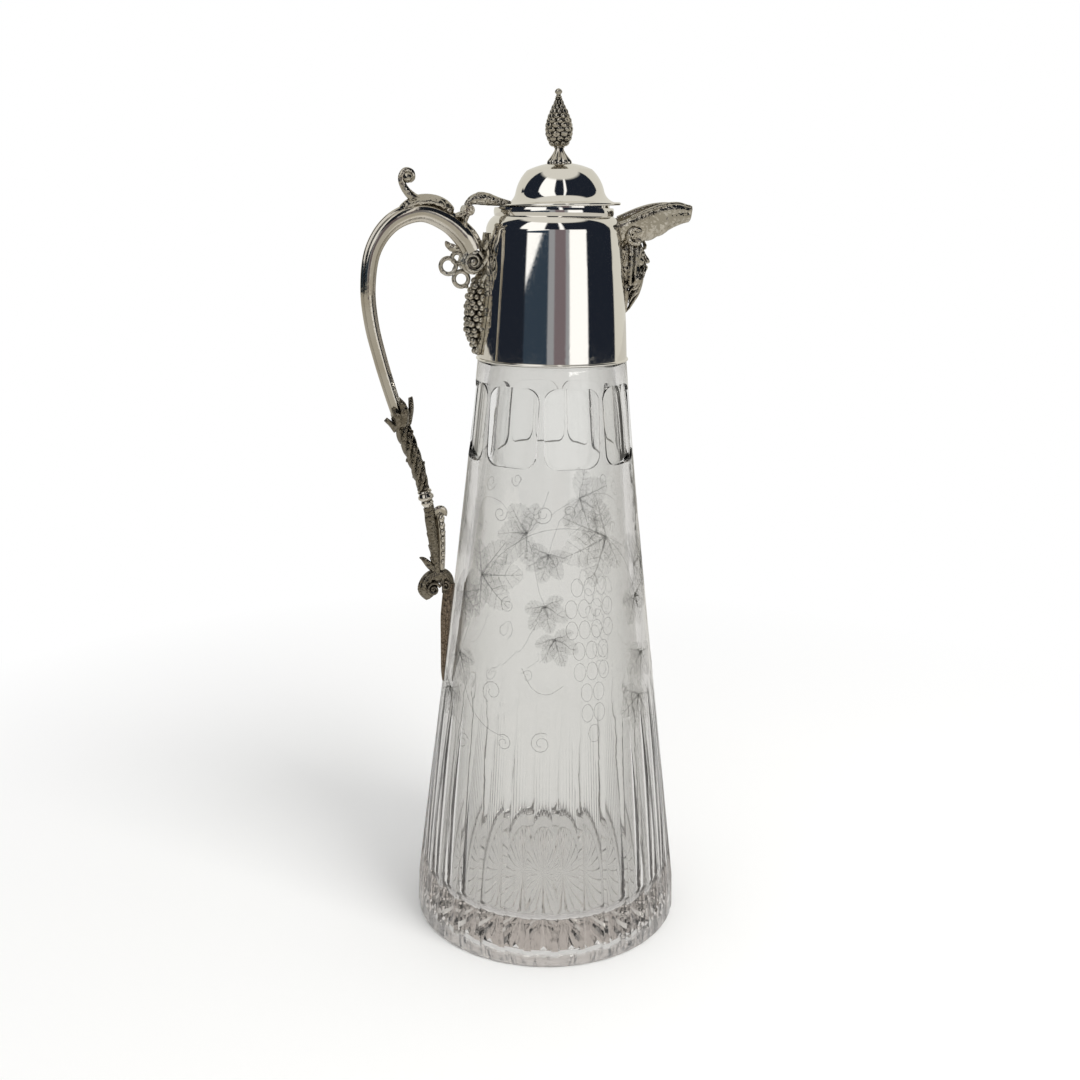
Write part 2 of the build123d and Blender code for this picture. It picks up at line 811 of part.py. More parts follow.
with BuildLine(Plane.XZ) as leaf_spine:
    Spline(on_handle(18.7, -50.6), on_handle(17.9, -58.0), on_handle(16.7, -66.0), on_handle(15.9, -76.4))
leaf_sections = ovals(leaf_spine.line, [(3.8, 4.4), (3.6, 4.6), (3.0, 4.2), (2.4, 3.6)])
with BuildPart() as lower_leaf:
    loft(leaf_sections)
    add(handle_knop.part, mode=Mode.SUBTRACT)
save(lower_leaf.part, "lower_leaf")

with BuildLine(Plane.XZ) as bead_spine:
    Spline(on_handle(14.6, -54.4), on_handle(14.3, -62.0), on_handle(14.4, -70.0), on_handle(14.6, -76.4))
bead_sections = ovals(bead_spine.line, [(2.8, 3.8), (2.7, 3.8), (2.6, 3.6), (2.4, 3.4)])
bead_curl = on_handle(14.7, -54.6)
bead_curl_half_width = 2.0
with BuildPart() as bead_strap:
    loft(bead_sections)
    with BuildSketch(Plane.XZ):
        with Locations(bead_curl):
            Circle(1.8)
    extrude(amount=bead_curl_half_width, both=True)
    add(lower_leaf.part, mode=Mode.SUBTRACT)
    add(handle_knop.part, mode=Mode.SUBTRACT)
save(bead_strap.part, "bead_strap")

with BuildLine(Plane.XZ) as thorn_spine:
    Spline(on_handle(15.6, -76.6), on_handle(19.0, -74.3), on_handle(22.4, -71.8))
thorn_sections = ovals(thorn_spine.line, [(2.4, 3.2), (1.8, 2.6), (0.5, 0.8)])
with BuildPart() as thorn_leaf:
    loft(thorn_sections)
    add(lower_leaf.part, mode=Mode.SUBTRACT)
    add(bead_strap.part, mode=Mode.SUBTRACT)
save(thorn_leaf.part, "thorn_leaf")

# scrolled wrap that binds leaf, strap and tail together
with BuildLine(Plane.XZ) as wrap_spine:
    Spline(
        on_handle(18.4, -86.6),
        on_handle(20.2, -83.4),
        on_handle(18.2, -79.8),
        on_handle(14.2, -78.9),
        on_handle(12.1, -81.6),
        on_handle(12.4, -85.4),
    )
wrap_sections = ovals(
    wrap_spine.line,
    [(3.2, 5.0), (3.4, 6.2), (3.6, 6.8), (3.4, 6.6), (3.0, 5.8), (2.4, 4.4)],
)
wrap_eye_half_width = 2.6
with BuildPart() as wrap_scroll:
    loft(wrap_sections)
    with BuildSketch(Plane.XZ):
        with Locations(on_handle(18.0, -83.6)):
            Circle(1.9)
    extrude(amount=wrap_eye_half_width, both=True)
    add(lower_leaf.part, mode=Mode.SUBTRACT)
    add(bead_strap.part, mode=Mode.SUBTRACT)
    add(thorn_leaf.part, mode=Mode.SUBTRACT)
save(wrap_scroll.part, "wrap_scroll")

# tail that lies along the glass: up from the shoulder, depth, width
tail_stations = [
    (-81.5, 4.4, 4.6),
    (-88.0, 4.7, 4.6),
    (-95.0, 4.6, 4.3),
    (-102.5, 3.6, 3.8),
    (-110.5, 2.6, 3.1),
    (-116.5, 1.7, 2.4),
    (-121.0, 0.6, 1.2),
]
with BuildLine(Plane.XZ) as tail_spine:
    Spline([beside_glass(handle_rest_gap + deep / 2, up) for up, deep, wide in tail_stations])
tail_sections = ovals(tail_spine.line, [(deep, wide) for up, deep, wide in tail_stations])
with BuildPart() as handle_tail:
    loft(tail_sections)
    add(wrap_scroll.part, mode=Mode.SUBTRACT)
save(handle_tail.part, "handle_tail")


# ---------------------------------------------------------------- hinge
hinge_x = -(collar_foot_radius + hinge_out)
hinge_z = rim_top - hinge_drop
lug_inside = knuckle_length / 2 + knuckle_side_gap
lug_outside = lug_inside + lug_thickness
with BuildPart() as hinge_lugs:
    for side in (1, -1):
        with BuildSketch(Plane.XZ.offset(side * lug_inside)):
            with Locations((hinge_x, hinge_z)):
                Circle(knuckle_radius)
            with BuildLine():
                Polyline(
                    (hinge_x + knuckle_radius, hinge_z),
                    (hinge_x - knuckle_radius, hinge_z),
                    (hinge_x - knuckle_radius * 1.9, hinge_z - knuckle_radius * 1.5),
                    (hinge_x + knuckle_radius * 0.3, hinge_z - knuckle_radius * 2.9),
                    close=True,
                )
            make_face()
            with Locations((hinge_x, hinge_z)):
                Circle(pin_radius + pin_fit, mode=Mode.SUBTRACT)
        extrude(amount=side * lug_thickness)
    add(handle_scroll.part, mode=Mode.SUBTRACT)
    add(handle_crest.part, mode=Mode.SUBTRACT)
save(hinge_lugs.part, "hinge_lugs")

with BuildPart() as hinge_pin:
    with BuildSketch(Plane.XZ):
        with Locations((hinge_x, hinge_z)):
            Circle(pin_radius)
    extrude(amount=lug_outside, both=True)
    for side in (1, -1):
        with BuildSketch(Plane.XZ.offset(side * lug_outside)):
            with Locations((hinge_x, hinge_z)):
                Circle(pin_head_radius)
        extrude(amount=side * pin_head_length)
save(hinge_pin.part, "hinge_pin")


# ---------------------------------------------------------------- lid
lid_rise = radians(lid_lift)
flange_height = rim_top + lid_seat_gap + flange_radius * sin(lid_rise)
lid_plane = Plane(
    origin=(lid_forward, 0, flange_height),
    x_dir=(cos(lid_rise), 0, sin(lid_rise)),
    z_dir=(-sin(lid_rise), 0, cos(lid_rise)),
)
lid_side = Plane(origin=lid_plane.origin, x_dir=lid_plane.x_dir, z_dir=-lid_plane.y_dir)
lid_axis = Axis(lid_plane.origin, lid_plane.z_dir)


def dome_arcs(inset):
    """Hollow then round arcs of the dome, from the flange to the top, drawn in by a wall."""
    foot = (flange_radius - 0.9 - inset, flange_thickness - inset)
    hollow = ((flange_radius + dome_radius) / 2 - 1.2 - inset * 0.8, flange_thickness + 1.2 - inset * 0.6)
    waist_point = (dome_radius - inset, flange_thickness + 3.9 - inset * 0.2)
    side = (dome_radius * 0.92 - inset, dome_height * 0.56 - inset * 0.4)
    shoulder_point = (dome_radius * 0.73 - inset * 0.75, dome_height * 0.83 - inset * 0.7)
    top = (0, dome_height - inset)
    # the crown is centred on the lid's axis, so that it is smooth at its top
    rise = top[1] - shoulder_point[1]
    crown_radius = (shoulder_point[0] ** 2 + rise**2) / (2 * rise)
    crown_out = shoulder_point[0] / 2
    crown = (crown_out, top[1] - crown_radius + (crown_radius**2 - crown_out**2) ** 0.5)
    return [(foot, hollow, waist_point), (waist_point, side, shoulder_point), (shoulder_point, crown, top)]


flange_edge = (
    (flange_radius - 0.9, flange_thickness),
    (flange_radius, flange_thickness / 2),
    (flange_radius - 0.9, 0),
)
stud_bore = stud_radius + thread_clearance

# outside of the lid without its hollow, to seat the arm on
with BuildPart() as lid_form:
    with BuildSketch(lid_side):
        with BuildLine():
            for arc in dome_arcs(0):
                ThreePointArc(*arc)
            ThreePointArc(*flange_edge)
            Polyline(flange_edge[2], (0, 0), (0, dome_height))
        make_face()
    revolve(axis=lid_axis)

with BuildPart() as lid_dome:
    with BuildSketch(lid_side):
        with BuildLine():
            outside = dome_arcs(0)
            inside = dome_arcs(lid_wall)
            for arc in outside + inside:
                ThreePointArc(*arc)
            Line(outside[2][2], inside[2][2])
            ThreePointArc(*flange_edge)
            Polyline(flange_edge[2], (inside[0][0][0], 0), inside[0][0])
        make_face()
    revolve(axis=lid_axis)
    with BuildSketch(lid_plane):
        Circle(stud_bore)
    extrude(amount=dome_height * 2, mode=Mode.SUBTRACT)
save(lid_dome.part, "lid_dome")

with BuildPart() as lid_bezel:
    with BuildSketch(lid_side):
        with BuildLine():
            Polyline(
                (bezel_radius - bezel_wall, -bezel_depth),
                (bezel_radius, -bezel_depth),
                (bezel_radius, 0),
                (bezel_radius - bezel_wall, 0),
                close=True,
            )
        make_face()
    revolve(axis=lid_axis)
    add(lid_dome.part, mode=Mode.SUBTRACT)
save(lid_bezel.part, "lid_bezel")

# foliate arm from the hinge to the flange: outside and inside edges of its arch
arm_reach = 16.8
arm_tip_rise = 2.6
arm_underside = 1.5  # clears the rim
with BuildPart() as lid_arm:
    with BuildSketch(Plane.XZ):
        with BuildLine():
            Spline(
                (hinge_x - knuckle_radius * 0.8, hinge_z + knuckle_radius * 0.6),
                (hinge_x + 1.5, hinge_z + 4.3),
                (hinge_x + 4.7, hinge_z + 6.1),
                (hinge_x + 9.0, hinge_z + 4.9),
                (hinge_x + arm_reach, hinge_z + arm_tip_rise),
            )
            Polyline(
                (hinge_x + arm_reach, hinge_z + arm_tip_rise),
                (hinge_x + arm_reach, hinge_z + arm_underside - 0.1),
                (hinge_x + 9.6, hinge_z + arm_underside),
            )
            Spline(
                (hinge_x + 9.6, hinge_z + arm_underside),
                (hinge_x + 7.8, hinge_z + 2.0),
                (hinge_x + 5.4, hinge_z + 2.1),
                (hinge_x + 3.2, hinge_z + 1.2),
                (hinge_x + knuckle_radius * 0.9, hinge_z - knuckle_radius * 0.4),
            )
            Line(
                (hinge_x + knuckle_radius * 0.9, hinge_z - knuckle_radius * 0.4),
                (hinge_x - knuckle_radius * 0.8, hinge_z + knuckle_radius * 0.6),
            )
        make_face()
        with Locations((hinge_x, hinge_z)):
            Circle(knuckle_radius)
            Circle(pin_radius + pin_fit, mode=Mode.SUBTRACT)
    extrude(amount=knuckle_length / 2, both=True)
    add(lid_form.part, mode=Mode.SUBTRACT)
save(lid_arm.part, "lid_arm")


# ---------------------------------------------------------------- finial
bell_lobes = 8
bell_skirt = 0.7  # the dome curves down by this much at the bell's edge
bell_neck_radius = 1.45
bell_lip = 0.6
bell_groove_radius = 0.9
bell_height = cone_bottom - dome_height
with BuildPart() as bell_groove:
    with BuildSketch(Plane.XY.offset(dome_height - 2)):
        with Locations((foot_bell_radius + bell_groove_radius * 0.45, 0)):
            Circle(bell_groove_radius)
    extrude(amount=2 + bell_height * 0.55)

with BuildPart() as finial_foot:
    with BuildSketch(lid_side):
        with BuildLine():
            Polyline((0, cone_bottom), (0, dome_height), (foot_bell_radius, dome_height - bell_skirt))
            ThreePointArc(
                (foot_bell_radius, dome_height - bell_skirt),
                (foot_bell_radius * 0.9, dome_height + bell_height * 0.3),
                (foot_bell_radius * 0.55, dome_height + bell_height * 0.62),
            )
            ThreePointArc(
                (foot_bell_radius * 0.55, dome_height + bell_height * 0.62),
                (foot_bell_radius * 0.38, dome_height + bell_height * 0.76),
                (bell_neck_radius, cone_bottom - bell_lip),
            )
            Polyline(
                (bell_neck_radius, cone_bottom - bell_lip),
                (bell_neck_radius * 1.3, cone_bottom),
                (0, cone_bottom),
            )
        make_face()
    revolve(axis=lid_axis)
    with Locations(lid_plane):
        with PolarLocations(0, bell_lobes):
            add(bell_groove.part, mode=Mode.SUBTRACT)
    with BuildSketch(lid_plane):
        Circle(stud_bore)
    extrude(amount=cone_bottom * 2, mode=Mode.SUBTRACT)
    add(lid_dome.part, mode=Mode.SUBTRACT)
save(finial_foot.part, "finial_foot")

# cone with rows of overlapping scales, each row turned half a scale from the last
cone_rows = 6
scales_in_row = 8
stud_grip = 3.5  # length of stud inside the cone
scale_depth = 0.55
tip_bead_radius = 1.7
tip_neck = 1.0
tip_bead_foot = finial_height - tip_bead_radius - (tip_bead_radius**2 - tip_neck**2) ** 0.5
scale_point = 0.35  # size of a scale's tip as a share of its foot
cone_height = cone_top - cone_bottom


def cone_radius_at(share):
    """Radius of the cone's core from its bottom (0) to its tip (1)."""
    return cone_radius * sin(pi * (0.12 + 0.86 * share)) ** 0.75 * (1.08 - 0.62 * share)


def row_share(row):
    """How far up the cone a row of scales sits."""
    return (row + 0.7) / (cone_rows + 0.6)


# one pointed scale for each row, standing on the cone's side
cone_scales = []
for row in range(cone_rows):
    scale_width = 2 * pi * cone_radius_at(row_share(row)) / scales_in_row
    scale_tall = 1.5 * cone_height / cone_rows
    with BuildPart() as cone_scale:
        for stand, size in ((-0.5, 1.0), (scale_depth, scale_point)):
            with BuildSketch(Plane.YZ.offset(cone_radius_at(row_share(row)) + stand)):
                with BuildLine():
                    Polyline(
                        (0, size * scale_tall * 0.55),
                        (size * scale_width * 0.48, 0),
                        (0, -size * scale_tall * 0.45),
                        (-size * scale_width * 0.48, 0),
                        close=True,
                    )
                make_face()
        loft()
    cone_scales.append(cone_scale.part)

with BuildPart() as finial_cone:
    with BuildSketch(lid_side):
        with BuildLine():
            Polyline((0, finial_height), (0, cone_bottom), (cone_radius_at(0), cone_bottom))
            Polyline(*[(cone_radius_at(step / 5), cone_bottom + step / 5 * cone_height) for step in range(6)])
            Polyline((cone_radius_at(1), cone_top), (tip_neck, cone_top + 0.6), (tip_neck, tip_bead_foot))
            ThreePointArc(
                (tip_neck, tip_bead_foot),
                (tip_bead_radius, finial_height - tip_bead_radius),
                (0, finial_height),
            )
        make_face()
    revolve(axis=lid_axis)
    for row in range(cone_rows):
        with Locations(lid_plane.offset(cone_bottom + row_share(row) * cone_height)):
            with PolarLocations(0, scales_in_row, start_angle=row * 180 / scales_in_row):
                add(cone_scales[row])
    with BuildSketch(lid_plane.offset(cone_bottom)):
        Circle(stud_bore)
    extrude(amount=stud_grip + thread_clearance, mode=Mode.SUBTRACT)
save(finial_cone.part, "finial_cone")

# stud through the dome, drawn up inside the lid by a nut on a washer
lid_apex_inside = dome_height - lid_wall
with BuildPart() as finial_washer:
    with BuildSketch(lid_plane.offset(lid_apex_inside - washer_seat)):
        Circle(washer_radius)
        Circle(stud_bore, mode=Mode.SUBTRACT)
    extrude(amount=-washer_thickness)
save(finial_washer.part, "finial_washer")

nut_top = lid_apex_inside - washer_seat - washer_thickness
with BuildPart() as finial_nut:
    with BuildSketch(lid_plane.offset(nut_top)):
        RegularPolygon(nut_across_flats / 2, 6, major_radius=False)
        Circle(stud_bore, mode=Mode.SUBTRACT)
    extrude(amount=-nut_height)
save(finial_nut.part, "finial_nut")

with BuildPart() as finial_stud:
    with BuildSketch(lid_plane.offset(nut_top - nut_height - stud_tail)):
        Circle(stud_radius)
    extrude(amount=cone_bottom + stud_grip - nut_top + nut_height + stud_tail)
save(finial_stud.part, "finial_stud")
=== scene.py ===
import json
import random
from math import atan2, cos, hypot, pi, radians, sin

import bpy
from mathutils import Matrix, Vector


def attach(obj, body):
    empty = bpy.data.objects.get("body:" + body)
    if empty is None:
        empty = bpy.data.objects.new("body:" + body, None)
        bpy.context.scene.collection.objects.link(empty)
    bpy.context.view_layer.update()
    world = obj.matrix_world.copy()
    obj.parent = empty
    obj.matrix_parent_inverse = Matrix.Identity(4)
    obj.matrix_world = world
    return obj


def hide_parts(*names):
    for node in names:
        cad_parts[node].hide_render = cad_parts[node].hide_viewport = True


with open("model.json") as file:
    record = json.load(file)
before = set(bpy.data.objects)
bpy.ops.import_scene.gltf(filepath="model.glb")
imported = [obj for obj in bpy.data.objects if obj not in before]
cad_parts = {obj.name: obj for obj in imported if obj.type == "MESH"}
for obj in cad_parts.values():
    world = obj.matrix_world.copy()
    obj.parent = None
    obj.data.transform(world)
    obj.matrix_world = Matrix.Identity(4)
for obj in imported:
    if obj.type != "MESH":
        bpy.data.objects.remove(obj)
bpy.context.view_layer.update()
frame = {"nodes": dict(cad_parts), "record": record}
nodes = frame["nodes"]
print("stage: frame loaded,", len(nodes), "nodes")

mm = 0.001  # sizes below are millimetres and are turned to metres where a mesh is made


# colours and node trees

def linearColour(hexCode, alpha=1.0):
    channels = []
    for start in (0, 2, 4):
        value = int(hexCode[start:start + 2], 16) / 255
        channels.append(value / 12.92 if value <= 0.04045 else ((value + 0.055) / 1.055) ** 2.4)
    return (*channels, alpha)


def addNode(tree, kind, settings=None, links=None):
    # settings are the node's own properties or its sockets' values, and links are what feeds its sockets
    node = tree.nodes.new("ShaderNode" + kind)
    for name, value in (settings or {}).items():
        if isinstance(name, str) and hasattr(node, name):
            setattr(node, name, value)
        else:
            node.inputs[name].default_value = value
    for name, source in (links or {}).items():
        tree.links.new(source.outputs[0] if hasattr(source, "outputs") else source, node.inputs[name])
    return node


def newMaterial(name):
    material = bpy.data.materials.new(name)
    material.use_nodes = True
    tree = material.node_tree
    tree.nodes.clear()
    return material, tree


def rampStops(node, stops):
    ramp = node.color_ramp
    while len(ramp.elements) > 1:
        ramp.elements.remove(ramp.elements[-1])
    for index, (place, colour) in enumerate(stops):
        stop = ramp.elements[0] if index == 0 else ramp.elements.new(place)
        stop.position = place
        stop.color = colour


# camera: from a little above, with the handle turned a little towards the viewer

cameraSetup = {
    "place": (-117.99, -426.20, 266.84),
    "turn": -15.0,
    "tiltDown": 14.879,
    "roll": 0.606,
    "lens": 40.41,
}
cameraData = bpy.data.cameras.new("camera")
cameraData.lens = cameraSetup["lens"]
cameraData.sensor_width = 36
cameraData.clip_start = 0.01
camera = bpy.data.objects.new("camera", cameraData)
bpy.context.scene.collection.objects.link(camera)
camera.matrix_world = (
    Matrix.Translation(Vector(cameraSetup["place"]) * mm)
    @ Matrix.Rotation(radians(cameraSetup["turn"]), 4, "Z")
    @ Matrix.Rotation(radians(90 - cameraSetup["tiltDown"]), 4, "X")
    @ Matrix.Rotation(radians(cameraSetup["roll"]), 4, "Z")
)
bpy.context.scene.camera = camera
bpy.context.scene.view_settings.view_transform = "Standard"

# studio: a pale table in a white sweep, and for reflections a room with dark walls and tall windows

roomSetup = {
    "walls": "1B202A",
    "curtain": "2E3A47",
    "panes": "FFFFFF",
    "cream": "C9C7BE",
    "ceiling": "CDCBC4",
    "farFloor": "D2CFC6",
    "grey": "8E9094",
    "door": "6F6468",
    "turn": 15,  # degrees that the room is turned, so that it faces the viewer
    "brightness": 1.25,
    "lowEdge": -16,
    "transom": 17,  # above this only the left window goes on
    "highEdge": 58,
    "curtainEdge": (4.5, -68),  # degrees round per degree of height, and degrees round at eye level
}
world = bpy.data.worlds.new("room")
bpy.context.scene.world = world
world.use_nodes = True
tree = world.node_tree
tree.nodes.clear()
direction = addNode(tree, "TexCoord").outputs["Generated"]
turned = addNode(tree, "Mapping", {"Rotation": (0, 0, radians(roomSetup["turn"]))}, {"Vector": direction})
split = addNode(tree, "SeparateXYZ", {}, {"Vector": turned})
# the share round the room: 0.5 is straight towards the viewer and more is to the right
across = addNode(tree, "Math", {"operation": "MULTIPLY", 1: -1.0}, {0: split.outputs["Y"]})
around = addNode(tree, "Math", {"operation": "ARCTAN2"}, {0: split.outputs["X"], 1: across})
share = addNode(tree, "Math", {"operation": "MULTIPLY_ADD", 1: 0.5 / pi, 2: 0.5}, {0: around})


def addBands(bands, edge=2):
    # tall bands round the room, each from its first angle on, with a soft edge
    ramp = addNode(tree, "ValToRGB", {}, {"Fac": share})
    stops = []
    for index, (angle, name) in enumerate(bands):
        place = 0.5 + angle / 360
        if index:
            stops.append((place - edge / 720, linearColour(roomSetup[bands[index - 1][1]])))
        stops.append((place + (edge / 720 if index else 0), linearColour(roomSetup[name])))
    rampStops(ramp, stops)
    return ramp.outputs[0]


def mixByHeight(lower, upper, angle, edge):
    # the upper colour above an angle of height
    fade = addNode(tree, "MapRange", {1: radians(angle - edge), 2: radians(angle + edge)}, {0: height})
    mix = addNode(tree, "Mix", {"data_type": "RGBA"}, {"Factor": fade, 6: lower, 7: upper})
    return mix.outputs[2]


height = addNode(tree, "Math", {"operation": "ARCSINE"}, {0: split.outputs["Z"]})
lowBands, drawnBands = (
    addBands([
        (-180, "cream"), (-122, "walls"), (-45, left), (-8, "grey"), (2, "door"), (20, "grey"),
        (26, "panes"), (56, "walls"), (112, "cream"),
    ])
    for left in ("panes", "curtain")
)
# the curtain hangs at a slant, and hides the lower right of the left window
slant, eyeLevel = roomSetup["curtainEdge"]
edge = addNode(tree, "Math", {"operation": "MULTIPLY_ADD", 1: -slant, 2: -radians(eyeLevel)}, {0: height})
beyond = addNode(tree, "Math", {"operation": "ADD"}, {0: edge, 1: around})
drawn = addNode(tree, "MapRange", {1: -0.03, 2: 0.03}, {0: beyond})
mix = addNode(tree, "Mix", {"data_type": "RGBA"}, {"Factor": drawn, 6: lowBands, 7: drawnBands})
lowBands = mix.outputs[2]
highBands = addBands([
    (-180, "cream"), (-112, "walls"), (-60, "panes"), (-16, "walls"), (10, "panes"), (17, "walls"),
    (112, "cream"),
])
ceiling = addNode(tree, "RGB")
ceiling.outputs[0].default_value = linearColour(roomSetup["ceiling"])
room = mixByHeight(lowBands, highBands, roomSetup["transom"], 2)
room = mixByHeight(room, ceiling.outputs[0], roomSetup["highEdge"], 3)
room = mixByHeight(ceiling.outputs[0], room, roomSetup["lowEdge"], 3)
rays = addNode(tree, "LightPath")
white = addNode(tree, "Background", {"Color": (1, 1, 1, 1), "Strength": 1.0})
fill = addNode(tree, "Background", {"Color": (1, 1, 1, 1), "Strength": 0.76})
roomLight = addNode(tree, "Background", {"Strength": roomSetup["brightness"]}, {"Color": room})
unseen = addNode(tree, "MixShader", {}, {0: rays.outputs["Is Glossy Ray"], 1: fill, 2: roomLight})
seen = addNode(
    tree, "Math", {"operation": "MAXIMUM"},
    {0: rays.outputs["Is Camera Ray"], 1: rays.outputs["Is Transmission Ray"]},
)
mixed = addNode(tree, "MixShader", {}, {0: seen, 1: unseen, 2: white})
addNode(tree, "OutputWorld", {}, {"Surface": mixed})


def addLamp(name, place, aim, size, power, colour="FFFFFF"):
    data = bpy.data.lights.new(name, "AREA")
    data.shape = "RECTANGLE"
    data.size, data.size_y = size
    data.energy = power
    data.color = linearColour(colour)[:3]
    lamp = bpy.data.objects.new(name, data)
    bpy.context.scene.collection.objects.link(lamp)
    lamp.location = place
    lamp.rotation_euler = (Vector(aim) - Vector(place)).to_track_quat("-Z", "Y").to_euler()
    lamp.visible_glossy = False
    return lamp


addLamp("lampKey", (0.38, -0.62, 0.82), (0, 0, 0.1), (0.5, 0.5), 5.6, "FFFEFC")

bpy.ops.mesh.primitive_plane_add(size=6.0, location=(0, 0, 0))
floor = bpy.context.object
floor.name = "floor"
material, tree = newMaterial("painted table top")
place = addNode(tree, "TexCoord").outputs["Object"]
reach = addNode(tree, "VectorMath", {"operation": "LENGTH"}, {0: place})
fade = addNode(tree, "MapRange", {1: 0.16, 2: 0.42}, {0: reach.outputs["Value"]})
paint = addNode(tree, "BsdfDiffuse", {"Color": linearColour("FAFAF9")})
rays = addNode(tree, "LightPath")
# white to look at, and cream in the metal, as the rest of the room is
mirrored = addNode(tree, "Math", {"operation": "SUBTRACT", "use_clamp": True}, {
    0: rays.outputs["Is Glossy Ray"], 1: rays.outputs["Is Transmission Ray"],
})
tint = addNode(
    tree, "Mix", {"data_type": "RGBA", 6: (1, 1, 1, 1), 7: linearColour(roomSetup["farFloor"])},
    {"Factor": mirrored},
)
glow = addNode(tree, "Emission", {"Strength": 1.0}, {"Color": tint.outputs[2]})
seen = addNode(
    tree, "Math", {"operation": "MAXIMUM"},
    {0: rays.outputs["Is Camera Ray"], 1: rays.outputs["Is Transmission Ray"]},
)
seen = addNode(tree, "Math", {"operation": "MAXIMUM"}, {0: seen, 1: rays.outputs["Is Glossy Ray"]})
amount = addNode(tree, "Math", {"operation": "MULTIPLY"}, {0: seen, 1: fade})
# painted light: seen through the glass, the table glows at three quarters of white everywhere, in place of
# light coming down through the glass, so the table under the jug is not left black
paintedLightThroughGlass = addNode(tree, "Math", {"operation": "MULTIPLY", 1: 0.75}, {0: rays.outputs["Is Transmission Ray"]})
amount = addNode(tree, "Math", {"operation": "MAXIMUM"}, {0: amount, 1: paintedLightThroughGlass})
blended = addNode(tree, "MixShader", {}, {0: amount, 1: paint, 2: glow})
addNode(tree, "OutputMaterial", {}, {"Surface": blended})
floor.data.materials.append(material)
print("stage: camera, room and table")


# materials

def makeLeadCrystal():
    # lead crystal, blown and then polished in acid: bright, and greyer where light goes further in it
    # through the volume absorption; its base colour is also greyed where the surface is seen at a slant, a
    # painted shade on the glass's edges
    material, tree = newMaterial("polished lead crystal")
    edge = addNode(tree, "LayerWeight").outputs["Facing"]
    # painted shade: the glass turns grey towards its edges, where it is seen at a slant
    depth = addNode(tree, "MapRange", {1: 0.15, 2: 0.62, 3: 0.0, 4: 1.0}, {0: edge})
    tint = addNode(
        tree, "Mix", {"data_type": "RGBA", 6: linearColour("ECECEA"), 7: linearColour("C9C8C5")},
        {"Factor": depth},
    )
    surface = addNode(tree, "BsdfPrincipled", {
        "Roughness": 0.035,
        "IOR": 1.54,
        "Transmission Weight": 1.0,
    }, {"Base Color": tint.outputs[2]})
    body = addNode(tree, "VolumeAbsorption", {"Color": linearColour("C6BBB2"), "Density": 15.0})
    addNode(tree, "OutputMaterial", {}, {"Surface": surface, "Volume": body})
    return material


def makeWheelCut(name, shadedGreyCode, lowAlpha, highAlpha):
    # crystal cut with a copper wheel and left matt: fine scratches that let most of the light through, in a
    # grey darker than matt crystal is, a painted shade for the light that the cuts scatter away
    material, tree = newMaterial(name)
    place = addNode(tree, "TexCoord").outputs["Object"]
    scratches = addNode(tree, "TexNoise", {"Scale": 1800.0, "Detail": 2.0}, {"Vector": place})
    cover = addNode(tree, "MapRange", {1: 0.3, 2: 0.7, 3: lowAlpha, 4: highAlpha}, {0: scratches})
    surface = addNode(tree, "BsdfPrincipled", {
        "Base Color": linearColour(shadedGreyCode),
        "Roughness": 0.75,
        "Specular IOR Level": 0.2,
    }, {"Alpha": cover})
    addNode(tree, "OutputMaterial", {}, {"Surface": surface})
    return material


def makePolishedPlate():
    # silver plate, machine buffed: a mirror with hairline scratches from wiping
    material, tree = newMaterial("buffed silver plate")
    place = addNode(tree, "TexCoord").outputs["Object"]
    hairs = addNode(tree, "TexNoise", {"Scale": 900.0, "Detail": 2.0}, {"Vector": place})
    rough = addNode(tree, "MapRange", {1: 0.35, 2: 0.75, 3: 0.035, 4: 0.09}, {0: hairs})
    surface = addNode(tree, "BsdfPrincipled", {
        "Base Color": linearColour("E9E6E0"),
        "Metallic": 1.0,
    }, {"Roughness": rough})
    addNode(tree, "OutputMaterial", {}, {"Surface": surface})
    return material


def makeCastPlate(name, highColour, roughLow, roughHigh, bumpStrength):
    # silver plate over cast brass: dark tarnish left in the hollows, wiped bright on what stands out
    material, tree = newMaterial(name)
    place = addNode(tree, "TexCoord").outputs["Object"]
    grain = addNode(
        tree, "TexNoise", {"Scale": 1000.0, "Detail": 3.0, "Roughness": 0.55}, {"Vector": place},
    )
    # punch marks, 1.6 mm
    chasing = addNode(tree, "TexNoise", {"Scale": 620.0, "Detail": 1.0}, {"Vector": place})
    cloud = addNode(tree, "TexNoise", {"Scale": 90.0, "Detail": 3.0}, {"Vector": place})
    hollow = addNode(tree, "AmbientOcclusion", {"samples": 8, "only_local": True, "Distance": 0.0016})
    worn = addNode(tree, "MapRange", {1: 0.42, 2: 0.92, 3: 0.0, 4: 1.0}, {0: hollow.outputs["AO"]})
    tone = addNode(
        tree, "Mix", {"data_type": "RGBA", 6: linearColour("241F1A"), 7: linearColour(highColour)},
        {"Factor": worn},
    )
    stain = addNode(
        tree, "Mix", {"data_type": "RGBA", "blend_type": "MULTIPLY", 7: linearColour("DAD0C2")},
        {"Factor": cloud, 6: tone.outputs[2]},
    )
    rough = addNode(tree, "MapRange", {1: 0.3, 2: 0.7, 3: roughLow, 4: roughHigh}, {0: grain})
    bump = addNode(tree, "Bump", {"Strength": bumpStrength, "Distance": 0.0006}, {"Height": chasing})
    surface = addNode(tree, "BsdfPrincipled", {"Metallic": 1.0}, {
        "Base Color": stain.outputs[2], "Roughness": rough, "Normal": bump,
    })
    addNode(tree, "OutputMaterial", {}, {"Surface": surface})
    return material


